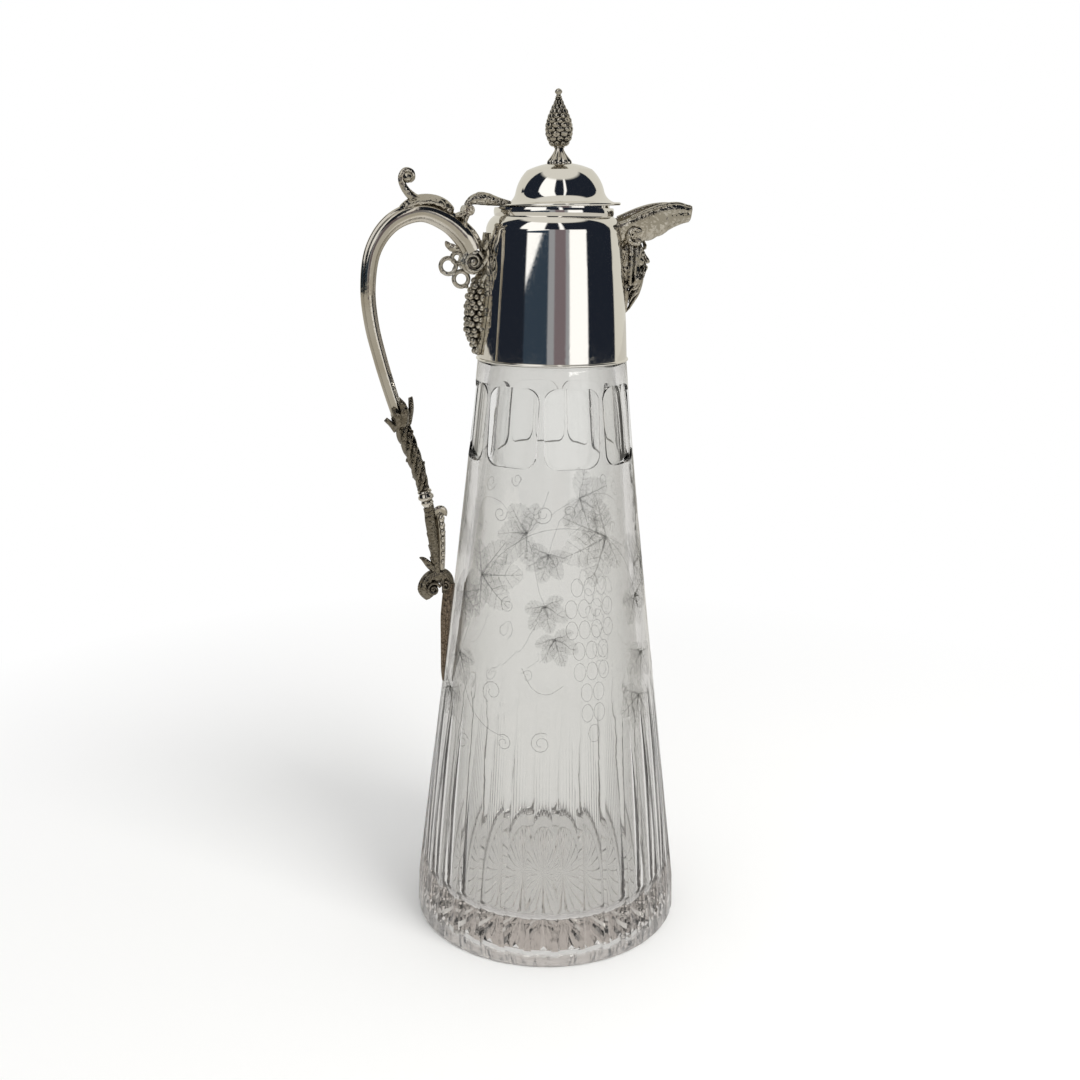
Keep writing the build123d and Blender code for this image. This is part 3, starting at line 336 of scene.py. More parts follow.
def makePlaster():
    # plaster of Paris, poured and dried: chalky, with fine pores
    material, tree = newMaterial("poured plaster")
    place = addNode(tree, "TexCoord").outputs["Object"]
    pores = addNode(tree, "TexNoise", {"Scale": 1500.0, "Detail": 3.0}, {"Vector": place})
    bump = addNode(tree, "Bump", {"Strength": 0.4, "Distance": 0.0002}, {"Height": pores})
    surface = addNode(
        tree, "BsdfPrincipled", {"Base Color": linearColour("DEDACE"), "Roughness": 0.9}, {"Normal": bump},
    )
    addNode(tree, "OutputMaterial", {}, {"Surface": surface})
    return material


leadCrystal = makeLeadCrystal()
# the greys of the cuts are painted shade: darker than matt crystal, for the light that the cuts scatter
# away
cutLine = makeWheelCut("wheel-cut line in crystal", "7E7D77", 0.08, 0.36)
cutBlade = makeWheelCut("matt wheel-cut crystal", "9A9892", 0.03, 0.12)
polishedPlate = makePolishedPlate()
castPlate = makeCastPlate("oxidised silver plate on cast brass", "BDBAB1", 0.08, 0.18, 0.9)
darkPlate = makeCastPlate("oxidised silver plate left dark", "7C776C", 0.06, 0.15, 1.0)
wornPlate = makeCastPlate("plate worn to the brass", "796E62", 0.1, 0.2, 0.8)
strapPlate = makeCastPlate("silver plate rubbed bright", "CFCCC4", 0.06, 0.13, 0.04)
plaster = makePlaster()
finishBySlot = {
    "glass": leadCrystal,
    "polished_plate": polishedPlate,
    "oxidised_plate": castPlate,
    "hardware": castPlate,
    "bedding": plaster,
}


def setMaterial(piece, material):
    piece.data.materials.clear()
    piece.data.materials.append(material)


for part in frame["record"]["subparts"]:
    setMaterial(nodes[part["node"]], finishBySlot[part["material_slot"]])
print("stage: materials on the carried-over nodes")


# modelling helpers

def clearSelection():
    if bpy.context.object and bpy.context.object.mode != "OBJECT":
        bpy.ops.object.mode_set(mode="OBJECT")
    bpy.ops.object.select_all(action="DESELECT")


def makeActive(piece):
    clearSelection()
    piece.select_set(True)
    bpy.context.view_layer.objects.active = piece


def bakePlace(piece):
    makeActive(piece)
    bpy.ops.object.transform_apply(location=True, rotation=True, scale=True)


def addModifier(piece, kind, **settings):
    modifier = piece.modifiers.new(kind.lower(), kind)
    for name, value in settings.items():
        setattr(modifier, name, value)
    makeActive(piece)
    bpy.ops.object.modifier_apply(modifier=modifier.name)


def weld(piece, distance=0.00001):
    makeActive(piece)
    bpy.ops.object.mode_set(mode="EDIT")
    bpy.ops.mesh.select_all(action="SELECT")
    bpy.ops.mesh.remove_doubles(threshold=distance)
    bpy.ops.mesh.normals_make_consistent(inside=False)
    bpy.ops.object.mode_set(mode="OBJECT")


def joinPieces(pieces, name):
    clearSelection()
    for piece in pieces:
        piece.select_set(True)
    bpy.context.view_layer.objects.active = pieces[0]
    bpy.ops.object.join()
    joined = bpy.context.object
    joined.name = name
    joined.data.name = name
    return joined


def finishPiece(parts, name, material, replaced=(), body="jug", smooth=60):
    piece = joinPieces(parts, name)
    bakePlace(piece)
    bpy.ops.object.shade_smooth_by_angle(angle=radians(smooth))
    setMaterial(piece, material)
    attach(piece, body)
    if replaced:
        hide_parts(*replaced)


def ovalProfile(depth, width, sides, grooves=(), grooveDepth=0.16, grooveWidth=10):
    # an oval outline with grooves at the given angles, in degrees
    points = []
    for step in range(sides):
        angle = 360 * step / sides
        cut = 0
        for groove in grooves:
            gap = (angle - groove + 180) % 360 - 180
            cut += grooveDepth * 2.718 ** (-(gap / grooveWidth) ** 2)
        points.append((
            depth / 2 * cos(radians(angle)) * (1 - cut), width / 2 * sin(radians(angle)) * (1 - cut),
        ))
    return points


def smoothPath(points, steps):
    # a smooth line through all the points
    places = [Vector(point) for point in points]
    line = []
    for index in range(len(places) - 1):
        before = places[max(index - 1, 0)]
        here, ahead = places[index], places[index + 1]
        after = places[min(index + 2, len(places) - 1)]
        for step in range(steps):
            share = step / steps
            line.append(
                0.5 * (
                    2 * here + (ahead - before) * share + (
                        2 * before - 5 * here + 4 * ahead - after
                    ) * share ** 2 + (3 * here - before - 3 * ahead + after) * share ** 3
                )
            )
    line.append(places[-1])
    return line


def evenValue(values, share):
    # the value a share of the way along a list
    place = share * (len(values) - 1)
    index = min(int(place), len(values) - 2)
    return values[index] + (values[index + 1] - values[index]) * (place - index)


def addSweep(path, sizes, oval, twist=0.0, steps=5):
    # an oval, given as for ovalProfile, carried along a smooth path, with its ends closed
    profile = ovalProfile(*oval)
    line = smoothPath(path, steps)
    bpy.ops.curve.primitive_nurbs_path_add(location=(0, 0, 0))
    curve = bpy.context.object
    curve.data.splines.clear()
    spline = curve.data.splines.new("POLY")
    spline.points.add(len(line) - 1)
    for index, place in enumerate(line):
        share = index / (len(line) - 1)
        spline.points[index].co = (*(place * mm), 1)
        spline.points[index].radius = evenValue(sizes, share)
        spline.points[index].tilt = radians(twist) * share
    curve.data.dimensions = "3D"
    curve.data.twist_mode = "MINIMUM"
    bpy.ops.curve.primitive_bezier_circle_add(location=(0, 0, 0))
    outline = bpy.context.object
    outline.data.splines.clear()
    ring = outline.data.splines.new("POLY")
    ring.points.add(len(profile) - 1)
    for index, (across, up) in enumerate(profile):
        ring.points[index].co = (across * mm, up * mm, 0, 1)
    ring.use_cyclic_u = True
    outline.data.dimensions = "2D"
    curve.data.bevel_mode = "OBJECT"
    curve.data.bevel_object = outline
    curve.data.use_fill_caps = True
    makeActive(curve)
    bpy.ops.object.convert(target="MESH")
    swept = bpy.context.object
    bpy.data.objects.remove(outline)
    weld(swept)
    return swept


def addBall(place, radius, detail=2, stretch=(1, 1, 1), turn=(0, 0, 0)):
    bpy.ops.mesh.primitive_ico_sphere_add(
        subdivisions=detail, radius=radius * mm, location=[value * mm for value in place],
        rotation=[radians(value) for value in turn],
    )
    ball = bpy.context.object
    ball.scale = stretch
    bakePlace(ball)
    return ball


def addTurned(stations, base, direction, sides=40):
    # a ring drawn up from station to station, as on a lathe: each is (height, radius)
    (firstHeight, firstRadius), *rest = stations
    bpy.ops.mesh.primitive_circle_add(
        vertices=sides, radius=firstRadius * mm, location=(0, 0, firstHeight * mm), fill_type="NGON",
    )
    turned = bpy.context.object
    bpy.ops.object.transform_apply(location=True, rotation=True, scale=True)
    bpy.ops.object.mode_set(mode="EDIT")
    bpy.ops.mesh.select_all(action="SELECT")
    height, radius = firstHeight, firstRadius
    for newHeight, newRadius in rest:
        bpy.ops.mesh.extrude_region_move(TRANSFORM_OT_translate={
            "value": (0, 0, (newHeight - height) * mm)
        })
        ratio = newRadius / radius
        bpy.ops.transform.resize(value=(ratio, ratio, 1), center_override=(0, 0, newHeight * mm))
        height, radius = newHeight, newRadius
    bpy.ops.mesh.select_all(action="SELECT")
    bpy.ops.mesh.normals_make_consistent(inside=False)
    bpy.ops.object.mode_set(mode="OBJECT")
    turned.rotation_euler = Vector(direction).to_track_quat("Z", "Y").to_euler()
    turned.location = [value * mm for value in base]
    bakePlace(turned)
    return turned


def addRing(place, radius, wire):
    bpy.ops.mesh.primitive_torus_add(
        major_radius=radius * mm, minor_radius=wire * mm, major_segments=40, minor_segments=10,
        location=[value * mm for value in place],
        rotation=Vector((0, 1, 0)).to_track_quat("Z", "Y").to_euler(),
    )
    ring = bpy.context.object
    bakePlace(ring)
    return ring


def addLeaf(
    midrib, width, lobes, lift, thickness=0.5, normal=(0, 1, 0), rows=24, columns=8, lobeDepth=0.35,
    curl=0.0,
):
    # a leaf that lies along a midrib: lobed edges, a raised rib and side veins
    bpy.ops.mesh.primitive_grid_add(x_subdivisions=columns, y_subdivisions=rows, size=1, location=(0, 0, 0))
    leaf = bpy.context.object
    facing = Vector(normal).normalized()
    line = smoothPath(midrib, rows)
    for vertex in leaf.data.vertices:
        across = vertex.co.x * 2
        along = vertex.co.y + 0.5
        index = min(round(along * (len(line) - 1)), len(line) - 1)
        centre = line[index]
        forward = (line[min(index + 1, len(line) - 1)] - line[max(index - 1, 0)]).normalized()
        side = forward.cross(facing).normalized()
        wave = abs(sin(pi * lobes * along))
        half = width / 2 * max(
            sin(pi * min(along * 0.93 + 0.07, 1)) ** 0.7, 0.02,
        ) * (1 - lobeDepth * (1 - wave))
        rib = lift * (1 - abs(across)) ** 2
        vein = 0.28 * lift * (wave - 0.5) * abs(across) ** 0.5
        droop = curl * across ** 2
        vertex.co = (centre + side * across * half + facing * (rib + vein - droop)) * mm
    addModifier(leaf, "SOLIDIFY", thickness=thickness * mm, offset=0)
    addModifier(leaf, "SUBSURF", levels=1, render_levels=1)
    weld(leaf, 0.000002)
    return leaf


def spiralPath(centre, outside, inside, turns, start, clockwise=False, steps=14):
    path = []
    for step in range(int(steps * turns) + 1):
        share = step / int(steps * turns)
        radius = outside + (inside - outside) * share
        angle = radians(start) + (-1 if clockwise else 1) * 2 * pi * turns * share
        across, up = radius * cos(angle), radius * sin(angle)
        path.append((centre[0] + across, centre[1], centre[2] + up))
    return path


def taper(count, first, last, power=1.0):
    return [first + (last - first) * (step / (count - 1)) ** power for step in range(count)]


def pathOn(place, *points):
    return [place(*point) for point in points]


# the collar and its rim, and the outside of the glass, as the frame has them
mount = {
    "foot": 217.2, "footRadius": 27.05, "coneFoot": 217.4, "coneTall": 44.6, "taper": 3.15, "belly": 0.35,
    "shoulder": 262.0, "shoulderRadius": 23.9, "rimFoot": 267.5, "rimRadius": 21.3, "rimTop": 270.3,
}
glass = {"flutesFoot": 13, "foot": 50.95, "neck": 27.0, "waist": 0.8}


def onHandle(out, up, across=0.0):
    # a place in the handle's plane, out and up from the foot of the collar
    return (-(mount["footRadius"] + out), across, mount["foot"] + up)


def collarRadius(height):
    share = (height - mount["coneFoot"]) / mount["coneTall"]
    return mount["footRadius"] - mount["taper"] * share + mount["belly"] * 4 * share * (1 - share)


def glassRadius(height):
    share = (height - glass["flutesFoot"]) / (mount["foot"] - glass["flutesFoot"])
    hollow = glass["waist"] * 27 / 4 * share ** 2 * (1 - share)  # 27 / 4 brings the deepest place to 1
    return glass["foot"] + share * (glass["neck"] - glass["foot"]) - hollow


# handle: strap with moulded lines, its leaf, thumb scroll, volute, vine and grapes

strap = {
    "path": pathOn(
        onHandle, (29.4, -18.6), (32.4, -9.0), (35.3, 1.4), (38.0, 13.4), (38.95, 25.8), (36.9, 38.3),
        (30.4, 47.4), (20.4, 51.3), (11.0, 48.2), (4.7, 42.8), (2.2, 38.4),
    ),
    "sizes": [0.86, 0.88, 0.9, 0.94, 0.98, 1.06, 1.18, 1.28, 1.38, 1.56, 1.5], "depth": 5.3, "width": 5.4,
    "grooves": (56, 124, 236, 304),
}
oval = (strap["depth"], strap["width"], 48, strap["grooves"], 0.24, 11)
piece = addSweep(strap["path"], strap["sizes"], oval, steps=9)
finishPiece([piece], "handleStrap", strapPlate, ["handle_scroll"], smooth=50)

crest = {
    "path": pathOn(
        onHandle, (27.6, 51.2), (24.4, 53.9), (20.4, 55.3), (15.6, 55.2), (11.6, 53.6), (9.2, 51.0),
    ),
    "width": 6.8, "lobes": 7,
}
leaves = [addLeaf(
    crest["path"], crest["width"], crest["lobes"], 1.1, 2.0, (0.25, 0, 1), rows=12, columns=10,
    lobeDepth=0.45, curl=1.6,
)]
for step in range(7):
    share = 0.12 + step * 0.125
    centre = evenValue([Vector(point) for point in crest["path"]], share)
    for side in (1, -1):
        leaves.append(addBall(
            (centre[0], side * 2.1, centre[2] - 0.9), 0.95, 2, (1.25, 0.75, 0.9), (0, 25, side * 20),
        ))
    leaves.append(addBall((centre[0] + 0.4, 0, centre[2] + 0.35), 0.62, 2, (1.4, 0.8, 0.8), (0, 20, 0)))
finishPiece(leaves, "crestLeaf", castPlate, ["handle_crest"], smooth=40)

thumb = {
    "path": pathOn(
        onHandle, (20.6, 54.6), (23.6, 56.6), (25.9, 59.4), (26.7, 62.4), (25.4, 64.6), (23.3, 64.3),
        (22.8, 62.4), (23.9, 61.2),
    ),
    "sizes": [1.5, 1.15, 0.95, 0.9, 0.85, 0.75, 0.65, 0.5],
}
curl = addSweep(thumb["path"], thumb["sizes"], (2.0, 2.8, 24, (90, 270), 0.15, 14), steps=6)
bud = onHandle(24.6, 62.5)
eye = addBall(bud, 1.9, 3, (1, 1.15, 1))
frond = addLeaf(
    pathOn(onHandle, (20.6, 56.0), (22.9, 57.6), (24.9, 59.4), (25.6, 61.0)), 3.4, 3, 0.5, 0.5,
    (-0.6, 0, 0.8), rows=8, columns=6, curl=0.6,
)
finishPiece([curl, eye, frond], "thumbScroll", castPlate, ["thumb_scroll"], smooth=40)

volute = {"centre": onHandle(2.55, 34.6), "outside": 3.9, "inside": 1.0, "turns": 1.6, "halfWidth": 3.5}
parts = [addTurned([(-3.2, 3.9), (-2.9, 4.3), (2.9, 4.3), (3.2, 3.9)], volute["centre"], (0, 1, 0), 48)]
for side in (1, -1):
    centre = (volute["centre"][0], side * volute["halfWidth"], volute["centre"][2])
    path = spiralPath(
        centre, volute["outside"], volute["inside"], volute["turns"], 60, clockwise=True, steps=16,
    )
    parts.append(addSweep(path, taper(6, 1.0, 0.6), (1.2, 1.3, 16), steps=2))
    parts.append(addBall((centre[0], side * (volute["halfWidth"] - 0.1), centre[2]), 1.25, 3, (1, 0.8, 1)))
finishPiece(parts, "rootVolute", castPlate, ["handle_volute"], smooth=40)

vine = {
    "rings": [(onHandle(10.85, 33.1), 2.7), (onHandle(6.35, 28.7), 2.6), (onHandle(7.75, 35.9), 1.75)],
    "wire": 0.78,
}
parts = [addRing(centre, radius, vine["wire"]) for centre, radius in vine["rings"]]
parts.append(addLeaf(
    pathOn(onHandle, (5.4, 38.0), (8.2, 38.9), (10.6, 39.9), (11.8, 41.6)), 3.2, 3, 0.35, 0.6, (0, -1, 0),
    rows=8, columns=6,
))
parts.append(addSweep(
    pathOn(onHandle, (3.6, 31.4), (5.2, 33.4), (7.9, 33.4), (9.2, 31.6)), [1, 1, 0.9, 0.7], (1.2, 1.3, 14),
))
for out, up, radius in ((13.0, 31.4, 0.85), (4.5, 26.2, 0.8), (8.9, 30.7, 0.9)):
    parts.append(addBall(onHandle(out, up), radius, 2))
finishPiece(parts, "vineTendrils", castPlate, ["vine_rings"], smooth=40)

grapes = {"radius": 1.28, "rows": 14, "spacing": 1.86, "foot": 221.2, "halfWidth": 4.9, "depth": 4.0}
shuffle = random.Random(5)
core = addTurned(
    [(0, 0.5), (3, 1.8), (8, 3.2), (14, 4.2), (20, 4.5), (25, 3.6), (27, 2.4)],
    (-(collarRadius(222) + 0.2), 0, 220.8), (0.068, 0, 1), 24,
)
parts = [core]
for row in range(grapes["rows"]):
    height = grapes["foot"] + row * grapes["spacing"]
    fullness = min(1, 0.22 + row / 6) * (1 if row < 11 else 1 - 0.14 * (row - 10))
    half, deep = grapes["halfWidth"] * fullness, 1.0 + grapes["depth"] * fullness
    count = max(1, round(pi * (half + deep) / 2 / (1.85 * grapes["radius"])))
    for place in range(count):
        turn = radians(((place + 0.5 + 0.5 * (row % 2 - 0.5)) / count * 2 - 1) * 88)
        jitter = [shuffle.uniform(-0.35, 0.35) for _ in range(3)]
        centre = (
            -(collarRadius(height) + deep * cos(turn)) + jitter[0], half * sin(turn) + jitter[1],
            height + jitter[2],
        )
        parts.append(addBall(centre, grapes["radius"] * shuffle.uniform(0.82, 1.15), 2))
finishPiece(parts, "grapeBunch", castPlate, ["grape_drop"], smooth=40)
print("stage: upper handle")

# lower handle: calyx, twisted shaft, knop, leaf, beaded strap, thorn, wrap and tail

shaft = {
    "path": pathOn(
        onHandle, (29.4, -18.6), (27.5, -24.7), (25.85, -29.1), (24.2, -33.6), (22.7, -38.1), (21.5, -42.6),
        (20.6, -46.0),
    ),
    "sizes": [1.0, 1.06, 1.06, 1.0, 0.94, 0.86, 0.74], "twist": 420,
}
core = addSweep(
    shaft["path"], shaft["sizes"], (5.9, 5.7, 40, (36, 108, 180, 252, 324), 0.3, 17), shaft["twist"],
    steps=10,
)
parts = [core]
line = smoothPath(shaft["path"], 8)
for step in range(15):
    place = evenValue(line, 0.08 + 0.86 * step / 14)
    ahead = evenValue(line, 0.10 + 0.86 * step / 14) - place
    angle = radians(step * 101)
    side = Vector((ahead.z, 0, -ahead.x)).normalized()
    reach = 2.55 * evenValue(shaft["sizes"], step / 14)
    spot = place + (side * cos(angle) + Vector((0, 1, 0)) * sin(angle)) * reach
    parts.append(addBall(spot, 0.72, 2, (0.8, 0.8, 1.5), (0, 20, 0)))
finishPiece(parts, "twistedShaft", darkPlate, ["handle_shaft"])

calyx = {
    "ring": [(0, 2.5), (0.4, 3.2), (1.4, 3.45), (2.4, 3.1), (3.0, 2.7)],
    # leaves: tip, belly and foot, each out, up and across
    "leaves": [
        ((24.9, -12.3, 0), (24.6, -16.8, 0), (25.6, -22.4, 0)),
        ((33.9, -20.0, 0), (32.0, -21.9, 0), (30.4, -24.4, 0)),
        ((28.6, -12.9, 3.2), (27.2, -17.4, 3.5), (27.6, -22.6, 2.6)),
        ((28.6, -12.9, -3.2), (27.2, -17.4, -3.5), (27.6, -22.6, -2.6)),
        ((31.8, -15.6, 2.6), (30.4, -18.6, 3.2), (29.4, -22.8, 2.2)),
        ((31.8, -15.6, -2.6), (30.4, -18.6, -3.2), (29.4, -22.8, -2.2)),
    ],
}
parts = [addTurned(calyx["ring"], onHandle(28.1, -22.6), (-0.38, 0, 1), 36)]
for tip, belly, foot in calyx["leaves"]:
    midrib = pathOn(onHandle, foot, belly, tip)
    outward = Vector(onHandle(*belly)) - Vector(onHandle(28.4, -18.5))
    parts.append(addLeaf(midrib, 4.0, 3, 0.7, 0.8, outward, rows=10, columns=6, curl=0.9))
finishPiece(parts, "leafCalyx", darkPlate, ["handle_calyx"])

knop = {
    "stations": [
        (0, 2.0), (0.3, 2.5), (0.9, 2.6), (1.2, 2.1), (1.7, 2.3), (2.4, 2.85), (3.1, 2.85), (3.7, 2.3),
        (4.1, 1.9), (4.5, 2.2), (5.0, 2.3), (5.6, 2.0), (6.2, 1.7),
    ]
}
piece = addTurned(knop["stations"], onHandle(20.5, -46.2), (0.24, 0, -1), 40)
finishPiece([piece], "beadKnop", strapPlate, ["handle_knop"])

lowerLeaf = {
    "path": pathOn(onHandle, (18.9, -51.4), (18.2, -57.5), (17.3, -64.0), (16.6, -70.5), (15.9, -77.6))
}
parts = [addSweep(
    lowerLeaf["path"], [0.8, 1.05, 1.0, 0.9, 0.8], (3.8, 4.2, 36, (55, 125, 180, 235, 305), 0.2, 13),
    steps=7,
)]
for step in range(5):
    up = -54.5 - step * 4.6
    out = 19.6 - step * 0.52
    parts.append(addLeaf(
        pathOn(onHandle, (out - 1.2, up - 3.4), (out, up - 1.6), (out + 0.9, up + 1.4)), 3.2, 2, 0.4, 0.5,
        (-1, 0, 0.2), rows=8, columns=6, curl=1.0,
    ))
finishPiece(parts, "lowerLeafStem", darkPlate, ["lower_leaf"])

beads = {"path": pathOn(onHandle, (14.9, -55.4), (14.3, -62.0), (14.2, -69.0), (14.5, -76.6))}
parts = [addSweep(beads["path"], [1.0, 1.0, 0.95, 0.9], (2.2, 3.0, 28, (90, 270), 0.2, 16), steps=7)]
parts.append(addSweep(
    spiralPath(onHandle(14.9, -54.9), 1.5, 0.35, 1.4, -40, steps=12), [1, 0.6], (1.1, 3.2, 14), steps=2,
))
for step, radius in enumerate((1.5, 1.45, 1.3, 1.15, 1.0, 0.95, 0.85)):
    share = 0.08 + step * 0.13
    centre = evenValue([Vector(point) for point in beads["path"]], share)
    parts.append(addBall((centre[0] + 0.3, -1.15, centre[2]), radius, 3, (0.8, 0.8, 1.1)))
    parts.append(addBall((centre[0] + 0.3, 1.15, centre[2]), radius, 3, (0.8, 0.8, 1.1)))
finishPiece(parts, "beadStrap", strapPlate, ["bead_strap"])

thorn = {"path": pathOn(onHandle, (15.4, -77.6), (18.6, -75.0), (21.0, -72.4), (22.6, -71.6))}
parts = [addSweep(thorn["path"], [1.0, 0.95, 0.6, 0.12], (2.2, 3.0, 24, (0, 180), 0.2, 16), steps=6)]
finishPiece(parts, "thornLeaf", darkPlate, ["thorn_leaf"])

wrap = {
    "path": pathOn(
        onHandle, (18.4, -86.8), (20.4, -83.6), (18.4, -80.0), (14.4, -79.0), (12.2, -81.6), (12.5, -86.0),
    )
}
parts = [addSweep(
    wrap["path"], [0.75, 1.0, 1.0, 0.95, 0.8, 0.6], (3.4, 6.2, 36, (60, 120, 240, 300), 0.2, 12), steps=8,
)]
parts.append(addBall(onHandle(17.9, -83.6), 2.0, 3, (1, 1.45, 1)))
for side in (1, -1):
    parts.append(addSweep(
        spiralPath(onHandle(17.9, -83.6, side * 2.6), 2.6, 0.5, 1.6, 20, steps=14), [1, 0.6],
        (0.95, 1.1, 14), steps=2,
    ))
    parts.append(addSweep(
        spiralPath(onHandle(13.4, -82.6, side * 2.3), 1.8, 0.4, 1.3, 100, clockwise=True, steps=14),
        [1, 0.6], (0.85, 1.0, 14), steps=2,
    ))
finishPiece(parts, "scrollWrap", darkPlate, ["wrap_scroll"])

tail = {
    "ups": [-82.0, -88.0, -95.0, -102.5, -110.5, -116.5, -120.6],
    "depths": [4.4, 4.6, 4.4, 3.5, 2.5, 1.7, 0.7], "gap": 0.35,
}
path = [
    (-(glassRadius(mount["foot"] + up) + tail["gap"] + deep / 2), 0, mount["foot"] + up)
    for up, deep in zip(tail["ups"], tail["depths"])
]
parts = [addSweep(
    path, [deep / 4.6 for deep in tail["depths"]], (4.4, 4.3, 36, (60, 120, 180, 240, 300), 0.17, 12),
    steps=7,
)]
for step in range(4):
    height = mount["foot"] - 88 - step * 5.6
    wide = 1.9 - step * 0.28
    for side in (1, -1):
        reach = glassRadius(height) + 0.9
        parts.append(addBall(
            (-(reach + 1.8 - step * 0.25), side * wide, height), 0.85 - step * 0.08, 2, (0.9, 0.6, 2.0),
        ))
finishPiece(parts, "restTail", wornPlate, ["handle_tail"])
print("stage: lower handle")

# spout: chased trough with a beaded edge, C scrolls at its root and the mask below it

trough = {
    "root": 23.9,
    "length": 26.4,
    # height of the edge above the mount's rim, depth, half width: evenly spaced outwards
    "stations": [
        (-4.7, 10.0, 8.5), (-2.6, 10.5, 8.33), (-0.3, 11.0, 7.82), (1.4, 10.6, 6.97), (1.9, 8.0, 5.61),
        (0.8, 5.0, 3.2),
    ],
    "firstShare": -0.10,
    "wall": 0.9,
    "ribs": 11,
}


def mountRadius(height):
    if height < mount["shoulder"]:
        return collarRadius(height)
    if height < mount["rimFoot"]:
        return mount["shoulderRadius"] - 3.0 * ((height - mount["shoulder"]) / 5.5) ** 2
    return mount["rimRadius"]


def troughPlace(along, around, swell=0.0):
    # a place on the spout's outside: along from 0 to 1, around from -90 (edge) to 90 degrees
    rise, depth, half = evenValue(troughLine, along)
    reach = trough["root"] + (trough["firstShare"] + along * (1 - trough["firstShare"])) * trough["length"]
    height = mount["rimTop"] + rise - (depth + swell) * cos(radians(around))
    across = (half + swell) * sin(radians(around))
    reach = max(reach, (max(mountRadius(height) + 0.15, abs(across)) ** 2 - across ** 2) ** 0.5)
    return Vector((reach, across, height))


troughLine = smoothPath(trough["stations"], 8)
bpy.ops.mesh.primitive_grid_add(x_subdivisions=120, y_subdivisions=110, size=1, location=(0, 0, 0))
shell = bpy.context.object
for vertex in shell.data.vertices:
    around = vertex.co.x * 180
    along = vertex.co.y + 0.5
    rib = 0.42 * abs(sin(radians(around) * trough["ribs"] / 2)) * min(max((along - 0.45) * 4, 0), 1)
    fold = abs(sin(7 * pi * (along - 0.0016 * abs(around)))) * cos(radians(around * 3.1))
    leafing = 0.62 * fold * min(max((0.8 - along) * 5, 0), 1) * cos(radians(around)) ** 0.5
    edge = -0.35 * min(max((abs(around) - 78) / 6, 0), 1)
    vertex.co = troughPlace(along, around, -0.45 + rib + leafing + edge) * mm
addModifier(shell, "SOLIDIFY", thickness=trough["wall"] * mm, offset=0)
parts = [shell]
edgeLine = [troughPlace(along / 24, 90, -0.5) for along in range(4, 25)]
edgeLine += [troughPlace(1, around, -0.5) for around in (68, 45, 22, 0, -22, -45, -68)]
edgeLine += [troughPlace(along / 24, -90, -0.5) for along in range(24, 3, -1)]
parts.append(addSweep(edgeLine, [0.7] + [1.0] * 6 + [0.7], (1.5, 1.3, 14), steps=2))
for side in (1, -1):
    for step in range(22):
        parts.append(addBall(troughPlace(0.18 + step * 0.036, side * 80, 0.0), 0.42, 1))
finishPiece(parts, "spoutTrough", castPlate, ["spout_trough"], smooth=70)

scroll = {"centre": (27.8, 7.6, mount["rimTop"] - 9.4), "radius": 2.5}
parts = []
for side in (1, -1):
    centre = (scroll["centre"][0], side * scroll["centre"][1], scroll["centre"][2])
    arc = spiralPath(centre, scroll["radius"], scroll["radius"], 0.72, 50, steps=20)
    upper = spiralPath(
        (centre[0] + 1.2, centre[1], centre[2] + 1.6), 0.9, 0.3, 1.1, 120, clockwise=True, steps=12,
    )
    lower = spiralPath((centre[0] + 1.0, centre[1], centre[2] - 1.7), 0.9, 0.3, 1.1, 240, steps=12)
    parts.append(addSweep(arc, [0.8, 1.0, 1.15, 1.0, 0.8], (1.5, 1.7, 20, (0, 180), 0.18, 18), steps=2))
    parts.append(addSweep(upper, [1, 0.7], (0.9, 1.5, 14), steps=2))
    parts.append(addSweep(lower, [1, 0.7], (0.9, 1.5, 14), steps=2))
finishPiece(parts, "spoutScrolls", castPlate, ["spout_scrolls"])


def onMask(out, across, up):
    # out from the collar, across the mask and up from the mount's rim
    return (collarRadius(mount["rimTop"] + up) + out, across, mount["rimTop"] + up)


def addLock(places, sizes, width=1.7):
    return addSweep(places, sizes, (width, width * 1.05, 18, (30, 150, 270), 0.22, 22), 70, steps=5)


# the mask: a calm, bearded head on even thirds, brow to nose to chin, with eyes an eye's width apart
face = {"brow": -13.9, "noseFoot": -19.1, "chin": -24.3, "eyeHalfGap": 2.35, "eye": 1.15}
eyeUp = face["brow"] - 1.75
parts = [
    addBall(onMask(3.3, 0, -15.6), 1, 4, (5.3, 5.5, 7.8)),
    addBall(onMask(3.2, 0, -21.4), 1, 4, (4.7, 4.9, 6.2)),
    addBall(onMask(6.2, 0, face["chin"] + 0.9), 2.3, 3),
    addSweep(
        pathOn(
            onMask, (8.5, 0, face["brow"] + 0.2), (9.5, 0, face["brow"] - 2.2),
            (10.5, 0, face["noseFoot"] + 1.1),
        ),
        [0.75, 0.8, 1.15], (1.9, 1.7, 16),
    ),
    addBall(onMask(10.5, 0, face["noseFoot"] + 0.75), 0.95, 3, (1.1, 1, 0.85)),
    addBall(onMask(8.5, 0, -21.75), 1, 3, (0.85, 1.5, 0.42)),
    addBall(onMask(8.4, 0, -21.0), 1, 3, (0.7, 1.3, 0.3)),
]
